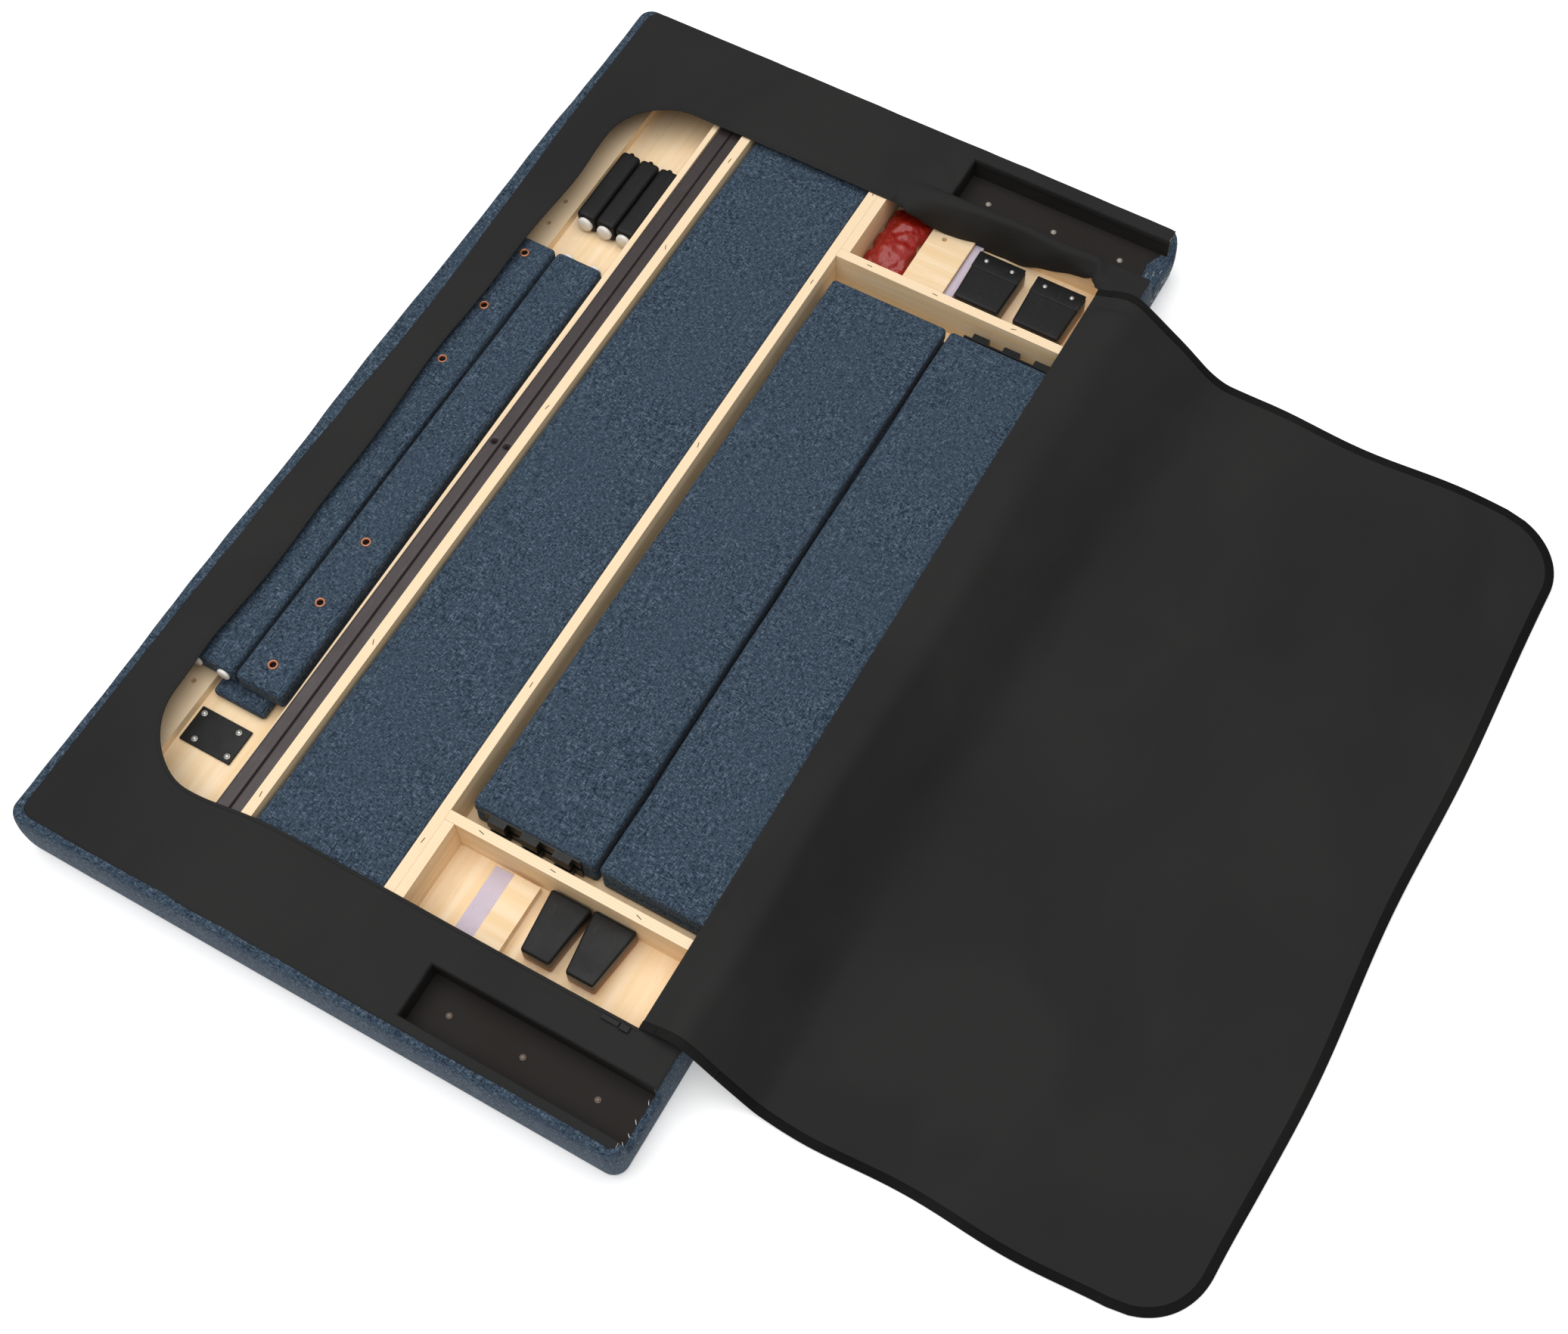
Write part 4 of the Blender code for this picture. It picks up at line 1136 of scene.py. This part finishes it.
class HEADBOARD_OT_stage(bpy.types.Operator):
    """Pale floor, soft lights and the camera"""

    bl_idname = "headboard.stage"
    bl_label = "Stage"

    def execute(self, context):
        scene, stage = context.scene, context.scene.headboard_stage
        half = 14.0
        corners = [(-half, -half, 0), (half, -half, 0), (half, half, 0), (-half, half, 0)]
        make_piece("stage_floor", corners, [(0, 1, 2, 3)], [finish("floor_pale")], flat=True)
        world = bpy.data.worlds.new("soft_room")
        world.use_nodes = True
        world.node_tree.nodes["Background"].inputs["Color"].default_value = (1.0, 1.0, 1.0, 1.0)
        world.node_tree.nodes["Background"].inputs["Strength"].default_value = stage.sky
        scene.world = world
        lights = (
            ("key_light", (-0.4, 0.3, 4.2), (-0.1, -0.2, 0.0), 6.0, stage.key_power),
            ("fill_light", (-3.4, -2.4, 2.2), (0.0, -0.2, 0.0), 2.4, stage.fill_power),
        )
        for name, place, target, size, power in lights:
            data = bpy.data.lights.new(name, "AREA")
            data.shape, data.size, data.energy = "DISK", size, power
            lamp = bpy.data.objects.new(name, data)
            lamp.location = place
            lamp.rotation_euler = (Vector(target) - Vector(place)).to_track_quat("-Z", "Y").to_euler()
            scene.collection.objects.link(lamp)
        right = Vector((0.49538, -0.86852, -0.0164))
        down = Vector((-0.77324, -0.43227, -0.46393))
        ahead = Vector((0.39585, 0.24251, -0.88572))
        camera_data = bpy.data.cameras.new("camera")
        camera_data.sensor_width = 36.0
        camera_data.lens = 36.0 * 2919.38 / 2073.0
        camera_data.clip_end = 60.0
        camera = bpy.data.objects.new("camera", camera_data)
        turn = Matrix((right, -down, -ahead)).transposed().to_4x4()
        turn.translation = Vector((-1.29900, -1.03494, 2.73300))
        camera.matrix_world = turn
        scene.collection.objects.link(camera)
        scene.camera = camera
        scene.view_settings.view_transform = "Standard"
        scene.view_settings.look = "None"
        return {"FINISHED"}


class HEADBOARD_OT_boards(bpy.types.Operator):
    """Birch, foam, steel and lining finishes on the parts that keep their frame shape"""

    bl_idname = "headboard.boards"
    bl_label = "Boards"

    def execute(self, context):
        finishes = {
            "birch_x": ("frame_top", "frame_bottom", "sill_board", "upper_partition", "thin_divider",
            "lower_partition", "doubler", "top_ledge"),
            "birch_y": ("frame_left", "frame_right", "recess_wall", "cross_board"),
            "birch_panel": ("front_panel", "recess_block"),
            "birch_batten": ("batten",),
            "foam_lilac": ("foam_strip",),
            "steel_black": ("hook_plate",),
            "cloth_lining": ("recess_lining",),
            "plastic_black": ("zip_slider", "zip_pull"),
        }
        for name, node in NODES.items():
            for material, starts in finishes.items():
                if name.startswith(starts):
                    node.data.materials.clear()
                    node.data.materials.append(finish(material))
        return {"FINISHED"}


class HEADBOARD_OT_upholstery(bpy.types.Operator):
    """Padded linen front and sides as one tray"""

    bl_idname = "headboard.upholstery"
    bl_label = "Upholstery"

    def execute(self, context):
        sizes, _ = settings(context)
        points, faces = upholstery_shape(sizes.wrap_proud, sizes.wrap_radius)
        piece = make_piece("upholstery", points, faces, [finish("linen_blue")])
        settle(piece, "headboard", "blue_linen", "front_cushion", "edge_wrap")
        return {"FINISHED"}


class HEADBOARD_OT_back_cloth(bpy.types.Operator):
    """Black cloth round the opening, in patches over the parts under it"""

    bl_idname = "headboard.back_cloth"
    bl_label = "Back Cloth"

    def execute(self, context):
        sizes, _ = settings(context)
        base, thick = sizes.cloth_height, sizes.cloth_thickness
        materials = [finish("cloth_black"), finish("binding_black")]
        fixed = [facing_up(foot_strip(base))]
        for side in (-1, 1):
            fixed += [facing_up(part(side, base)) for part in (slack_strip, shoulder, lip, rim)]
            fixed.append(facing_up(ring_patch(*corner_lines(side), base)))
            fixed.append(facing_up(ring_patch(*side_lines(side, 0.262, OPEN_TOP - OPEN_RADIUS), base)))
        fixed.append(facing_up(ring_patch(*top_lines(0.394, OPEN_X - OPEN_RADIUS), base)))
        hems = [strip_hem(side, base) for side in (-1, 1)]
        hems = [h if (grid_normals(h)[..., 0].mean() * np.sign(h[0, 0, 0])) > 0 else h[::-1] for h in hems]
        points, faces = joined([shell(g, thick) for g in fixed + hems])
        piece = settle(make_piece("back_cloth", points, faces, materials), "headboard", "black_fabric",
            "back_border")
        zones = {
            "back_cloth_footboard": ("footboard", [side_lines(s, -0.06, 0.194) for s in (-1, 1)],
            (-0.06, -0.02, 0.185, 0.194)),
            "back_cloth_rails": ("rail_bars", [side_lines(s, 0.194, 0.262) for s in (-1, 1)],
            (0.194, 0.203, 0.245, 0.262)),
            "back_cloth_leg": ("headboard_leg_1", [top_lines(-(OPEN_X - OPEN_RADIUS), 0.394)], None),
        }
        for name, (body, lines, limits) in zones.items():
            grids = [facing_up(ring_patch(inner, outer, base)) for inner, outer in lines]
            points, faces = joined([shell(g, thick) for g in grids])
            piece = make_piece(name, points, faces, materials)
            weights = side_weight(points, *limits) if limits else top_weight(points)
            bend(piece, "headboard", body, "black_fabric", weights)
        return {"FINISHED"}

    @staticmethod
    def plan_area(grid):
        """Area of a grid's faces: half the cross product of each face's diagonals."""
        cross = np.cross(grid[1:, 1:] - grid[:-1, :-1], grid[:-1, 1:] - grid[1:, :-1])
        return float(np.linalg.norm(cross, axis=-1).sum() / 2)


class HEADBOARD_OT_cover(bpy.types.Operator):
    """The unzipped cover: sewn along the bottom edge, over a soft crest and out over the floor"""

    bl_idname = "headboard.cover"
    bl_label = "Cover"

    def execute(self, context):
        sizes, _ = settings(context)
        grid, run, hem_end, slope_end = cover_grid(sizes.crest_distance)
        normals = grid_normals(grid)
        flip = normals[..., 2].mean() < 0
        materials = [finish("cloth_black")]
        binding = [finish("binding_black")]
        last = grid.shape[1] - 1
        zones = (
            ("cover_hem_cloth", "headboard", "cover_hem", 0, hem_end, (0.0, 0.022), "cover_hem"),
            ("cover_slope_cloth", "cover_hem", "cover_slope", hem_end, slope_end, (0.034, 0.074),
            "cover_slope"),
            ("cover_field_cloth", "cover_slope", "cover_field", slope_end, last, (0.140, 0.235),
            "cover_field"),
        )
        up = -normals if flip else normals
        for name, body_a, body_b, first, stop, (start, end), node in zones:
            part = slice(first, stop + 1)
            piece_grid, piece_up, s = grid[:, part], up[:, part], run[:, part]
            order = piece_grid[::-1] if flip else piece_grid
            order_up = piece_up[::-1] if flip else piece_up
            weight = edged(smooth(start, end, s[::-1] if flip else s))
            points, faces = shell(order, sizes.cloth_thickness, order_up)
            piece = make_piece(name, points, faces, materials)
            bend(piece, body_a, body_b, "black_fabric", np.concatenate([weight.ravel(), weight.ravel()]),
                node)
            bands = [(piece_grid[0], piece_up[0], s[0]),
                (piece_grid[-1][::-1], piece_up[-1][::-1], s[-1][::-1])]
            if stop == last:
                line = np.concatenate([piece_grid[0], piece_grid[1:-1, -1], piece_grid[-1][::-1]])
                tops = np.concatenate([piece_up[0], piece_up[1:-1, -1], piece_up[-1][::-1]])
                runs = np.concatenate([s[0], s[1:-1, -1], s[-1][::-1]])
                bands = [(line, tops, runs)]
            made, weights = [], []
            for line, tops, runs in bands:
                made.append(swept_band(line, tops, sizes.binding_width, 0.0034))
                weights.append(np.repeat(smooth(start, end, runs), 14))
            points, faces = joined(made)
            points[:, 2] = np.maximum(points[:, 2], 0.0003)
            edge = make_piece(name.replace("cloth", "binding"), points, faces, binding)
            bend(edge, body_a, body_b, "black_fabric", np.concatenate(weights))
        return {"FINISHED"}


class HEADBOARD_OT_wrapped_boards(bpy.types.Operator):
    """Footboard, side rails and headboard legs: boards wrapped in thin foam and linen"""

    bl_idname = "headboard.wrapped_boards"
    bl_label = "Wrapped Boards"

    def execute(self, context):
        sizes, _ = settings(context)
        leg_1, leg_2 = box_of("headboard_leg_1"), box_of("headboard_leg_2")
        mid_1, mid_2 = (leg_1[0] + leg_1[1])[1] / 2, (leg_2[0] + leg_2[1])[1] / 2
        holes = {
            "headboard_leg_1": [(x, mid_1) for x in (0.305, 0.194, 0.083)],
            "headboard_leg_2": [(x, mid_2) for x in (-0.452, -0.341, -0.230)],
        }
        boards = {
            "footboard": "footboard",
            "side_rail_1_lower": "side_rail_1_lower",
            "side_rail_1_upper": "side_rail_1_upper",
            "side_rail_2_lower": "side_rail_2_lower",
            "side_rail_2_upper": "side_rail_2_upper",
            "headboard_leg_1": "headboard_leg_1",
            "headboard_leg_2": "headboard_leg_2",
            "lower_panel": "headboard",
        }
        for k, (node, body) in enumerate(boards.items()):
            marks = holes.get(node, [])
            points, faces = wrapped_board_shape(node, sizes.board_radius, sizes.board_crown, RNG_SEED + 20
                + 2 * k, marks)
            piece = make_piece(node + "_wrapped", points, faces, [finish("linen_blue")])
            settle(piece, body, "blue_linen", node)
            if marks:
                top = box_of(node)[1][2] - 0.0004
                # Each hole gets a near-black cup below its insert: painted shade for the hollow.
                cups = []
                for hx, hy in marks:
                    cups.append(lathe([(0.0044, -0.0085), (0.0044, -0.0060)], (hx, hy, top), "z", 18))
                settle(make_piece(node + "_inserts", *ring_parts(marks, top), [finish("copper_insert")]),
                    body, "dark_steel")
                settle(make_piece(node + "_bores", *joined(cups), [finish("painted_hole_shade")]), body, "dark_steel")
        return {"FINISHED"}


def ring_parts(marks, top):
    """Threaded inserts: a washer-shaped closed ring of quarter-round section with a short barrel, turned
    about each hole."""
    section = np.array([(4.6, -6.0), (4.6, 0.1), (5.2, 0.9), (6.4, 1.1), (7.4, 0.6), (7.7, -0.4),
        (7.5, -1.6), (6.0, -1.6), (5.6, -6.0)]) * MM
    turn = np.linspace(0, math.tau, 24, endpoint=False)
    parts = []
    for hx, hy in marks:
        r, h = section[:, 0][:, None], section[:, 1][:, None] + 0 * turn
        ring = np.stack([hx + r * np.cos(turn), hy + r * np.sin(turn), top + h], -1)
        parts.append((ring.reshape(-1, 3),
            quads(len(section), 24, close_rows=True, close_cols=True, flip=True)))
    return joined(parts)


class HEADBOARD_OT_rail_bars(bpy.types.Operator):
    """The two steel tubes of the slat rail"""

    bl_idname = "headboard.rail_bars"
    bl_label = "Rail Bars"

    def execute(self, context):
        for node in ("rail_bar_1", "rail_bar_2"):
            low, high = box_of(node)
            piece = make_piece(node + "_tube", *tube_shape(low, high, 0.0), [finish("steel_brown")])
            settle(piece, "rail_bars", "dark_steel", node)
            # A near-black disc in the drilled hole is painted shade for the hollow inside the tube.
            centre = (0.0, (low[1] + high[1]) / 2, high[2] - 0.0075)
            bore = make_piece(node + "_bore", *lathe([(0.0036, -0.002), (0.0036, 0.0)], centre, "z", 16),
                [finish("painted_hole_shade")])
            settle(bore, "rail_bars", "dark_steel")
        return {"FINISHED"}


class HEADBOARD_OT_legs_and_feet(bpy.types.Operator):
    """Centre support legs with glides, tapered feet, and the glides of the headboard legs"""

    bl_idname = "headboard.legs_and_feet"
    bl_label = "Legs and Feet"

    def execute(self, context):
        for k in (1, 2, 3):
            node = f"centre_leg_{k}"
            low, high = box_of(node)
            inner_low, inner_high = low + [0.006, 0.0006, 0], high - [0.004, 0.0006, 0]
            piece = make_piece(node + "_body", *rounded_box(inner_low, inner_high, 0.0065, 0.02),
                [finish("plastic_black")])
            settle(piece, node, "black_plastic", node)
            mid = (low + high) / 2
            glide = [(0.0105, -0.009), (0.0125, -0.0035), (0.0125, 0.0), (0.011, 0.0022)]
            turned = lathe([(r, -h) for r, h in glide[::-1]], (low[0] + 0.0025, mid[1], mid[2]), "x", 24)
            settle(make_piece(node + "_glide", *turned, [finish("plastic_white")]), node, "white_plastic")
            knob = lathe([(0.0042, 0.0), (0.0042, 0.006), (0.003, 0.0075)],
                (high[0] - 0.0055, mid[1] + 0.004, high[2] - 0.011), "x", 14)
            settle(make_piece(node + "_screw", *knob, [finish("steel_black")]), node, "black_plastic")
        feet = {"foot_1": (0.080, 0.074), "foot_2": (0.083, 0.076), "foot_3": (0.062, 0.044),
            "foot_4": (0.066, 0.042)}
        for node, (wide, narrow) in feet.items():
            low, high = box_of(node)
            points, faces = foot_shape(low, high - [0, 0, 0.0012], wide, narrow)
            centres = points[faces].mean(1)
            # The sides carry the painted reflection of the wood and the top faces are plain black; the slot
            # stained_wood stands for that painted reflection.
            top = (centres[:, 2] > high[2] - 0.0045).astype(int)
            piece = make_piece(node + "_body", points, faces,
                [finish("foot_reflection_brown"), finish("plastic_black")], top)
            settle(piece, node, "stained_wood", node)
            if node in ("foot_1", "foot_2"):
                mid_y = (low[1] + high[1]) / 2
                half = wide / 2 - 0.0015
                plate_low = np.array([high[0] - 0.031, mid_y - half, high[2] - 0.006])
                plate_high = np.array([high[0] + 0.0001, mid_y + half, high[2]])
                plate = make_piece(node + "_plate", *rounded_box(plate_low, plate_high, 0.0012, 0.02),
                    [finish("steel_black")])
                settle(plate, node, "dark_steel")
                bolts = [screw_head((high[0] - 0.013, mid_y + s * half * 0.56, high[2] - 0.0002), 0.0034,
                    0.0022) for s in (-1, 1)]
                settle(make_piece(node + "_bolts", *joined(bolts), [finish("zinc")]), node, "dark_steel")
        for leg in (1, 2):
            for letter in "ab":
                node = f"leg_glide_{leg}{letter}"
                low, high = box_of(node)
                mid = (low + high) / 2
                radius, deep = (high[2] - low[2]) / 2, high[0] - low[0]
                sign = -1 if leg == 1 else 1
                profile = [(radius * 0.92, 0.0), (radius, deep * 0.2), (radius, deep * 0.7),
                    (radius * 0.8, deep)]
                start = high[0] if leg == 1 else low[0]
                if sign < 0:
                    profile = [(r, -h) for r, h in profile[::-1]]
                turned = lathe(profile, (start, mid[1], mid[2]), "x", 24)
                settle(make_piece(node + "_turned", *turned, [finish("plastic_white")]),
                    f"headboard_leg_{leg}", "white_plastic", node)
        return {"FINISHED"}


class HEADBOARD_OT_hardware(bpy.types.Operator):
    """Bracket plate with screws, bolts in the leg recesses, staples and the bag of fittings"""

    bl_idname = "headboard.hardware"
    bl_label = "Hardware"

    def execute(self, context):
        rng = np.random.default_rng(RNG_SEED)
        low, high = box_of("bracket_plate")
        plate = make_piece("bracket_plate_body", *rounded_box(low, high, 0.0014, 0.02),
            [finish("plastic_black")])
        settle(plate, "bracket_plate", "dark_steel", "bracket_plate")
        places = [(low[0] + 0.009, low[1] + 0.009), (low[0] + 0.009, high[1] - 0.02),
            (high[0] - 0.01, low[1] + 0.016), (high[0] - 0.009, high[1] - 0.009)]
        heads = [screw_head((x, y, high[2] - 0.0002), 0.0046, 0.003) for x, y in places]
        settle(make_piece("bracket_screws", *joined(heads), [finish("zinc")]), "bracket_plate", "dark_steel")
        floor = box_of("recess_lining_left")[0][2] + 0.001
        for name, side, size, metal in (("recess_bolts_left", -1, 0.0044, "bolt_dull"),
                ("recess_bolts_right", 1, 0.0044, "bolt_grey")):
            bolts = [screw_head((side * 0.744, y, floor - 0.0004), size, 0.0026, "z", 12)
                for y in (-0.180, -0.291, -0.402)]
            settle(make_piece(name, *joined(bolts), [finish(metal)]), "headboard", "dark_steel")
        fold = make_piece("linen_fold", *shell(fold_grid(floor), 0.0014), [finish("linen_blue")])
        settle(fold, "headboard", "blue_linen")
        staples = []
        for x, y in ((-0.716, -0.4590), (-0.745, -0.4580), (-0.764, -0.4595), (-0.777, -0.4585)):
            turn = rng.uniform(0.3, 1.0)
            staples.append(staple_shape((x, y, floor + 0.0010), (math.cos(turn), math.sin(turn), 0),
                0.0034, 0.0006))
        for x, y in ((0.714, -0.4620), (0.738, -0.4500), (0.743, -0.4580), (0.752, -0.4660)):
            turn = rng.uniform(-0.4, 0.8)
            staples.append(staple_shape((x, y, floor + 0.0032), (math.cos(turn), math.sin(turn), 0),
                0.0038, 0.0006))
        for k in range(7):
            x = 0.712 + 0.0115 * k
            z = 0.028 + rng.uniform(0.0, 0.024)
            y = -box_of("frame_top")[1][1] - 0.0118
            staples.append(upright_staple((x, y, z), rng.uniform(-0.5, 0.9)))
        settle(make_piece("linen_staples", *joined(staples), [finish("zinc")]), "headboard", "dark_steel")
        marks = []
        for x in (-0.62, -0.36, 0.08, 0.41, 0.6):
            top = box_of("upper_partition")[1]
            marks.append(staple_shape((x, top[1] - 0.0075, top[2] + 0.0003),
                (1, rng.uniform(-0.5, 0.5), 0), 0.005, 0.0005))
            top = box_of("lower_partition")[1]
            marks.append(staple_shape((x + 0.05, top[1] - 0.0075, top[2] + 0.0003),
                (1, rng.uniform(-0.5, 0.5), 0), 0.005, 0.0005))
        for node in ("cross_board_right", "cross_board_left"):
            low, high = box_of(node)
            for y in (-0.09, -0.2, -0.33):
                marks.append(staple_shape(((low[0] + high[0]) / 2, y, high[2] + 0.0003),
                    (rng.uniform(-0.4, 0.4), 1, 0), 0.005, 0.0005))
        settle(make_piece("board_staples", *joined(marks), [finish("steel_black")]), "headboard",
            "dark_steel")
        low, high = box_of("hardware_bag")
        bag = make_piece("hardware_bag_film", *bag_shape(low, high), [finish("bag_red")])
        settle(bag, "hardware_bag", "red_bag", "hardware_bag")
        return {"FINISHED"}


def upright_staple(centre, turn):
    """A staple on the lower side face: the flat staple turned to stand on that face."""
    points, faces = staple_shape((0, 0, 0), (math.cos(turn), math.sin(turn), 0), 0.0046, 0.0006)
    stood = np.stack([points[:, 0], -points[:, 2], points[:, 1]], -1)
    return stood + np.array(centre), faces


STEPS = (
    HEADBOARD_OT_stage,
    HEADBOARD_OT_boards,
    HEADBOARD_OT_upholstery,
    HEADBOARD_OT_back_cloth,
    HEADBOARD_OT_cover,
    HEADBOARD_OT_wrapped_boards,
    HEADBOARD_OT_rail_bars,
    HEADBOARD_OT_legs_and_feet,
    HEADBOARD_OT_hardware,
)


class HEADBOARD_PT_panel(bpy.types.Panel):
    """Lists the headboard's sizes, colours and steps"""

    bl_idname = "HEADBOARD_PT_panel"
    bl_label = "Storage Headboard"
    bl_space_type = "VIEW_3D"
    bl_region_type = "UI"
    bl_category = "Headboard"

    def draw(self, context):
        scene = context.scene
        for group in (scene.headboard_sizes, scene.headboard_colours, scene.headboard_stage):
            column = self.layout.column(align=True)
            for name in group.__annotations__:
                column.prop(group, name)
        for step in STEPS:
            self.layout.operator(step.bl_idname)


CLASSES = (HeadboardSizes, HeadboardColours, HeadboardStage, *STEPS, HEADBOARD_PT_panel)


def register():
    for cls in CLASSES:
        bpy.utils.register_class(cls)
    bpy.types.Scene.headboard_sizes = PointerProperty(type=HeadboardSizes)
    bpy.types.Scene.headboard_colours = PointerProperty(type=HeadboardColours)
    bpy.types.Scene.headboard_stage = PointerProperty(type=HeadboardStage)


def unregister():
    del bpy.types.Scene.headboard_stage
    del bpy.types.Scene.headboard_colours
    del bpy.types.Scene.headboard_sizes
    for cls in reversed(CLASSES):
        bpy.utils.unregister_class(cls)


def main():
    register()
    for step in STEPS:
        group, name = step.bl_idname.split(".")
        result = getattr(getattr(bpy.ops, group), name)()
        if result != {"FINISHED"}:
            raise RuntimeError(f"{step.bl_label} did not finish")


if __name__ == "__main__":
    main()
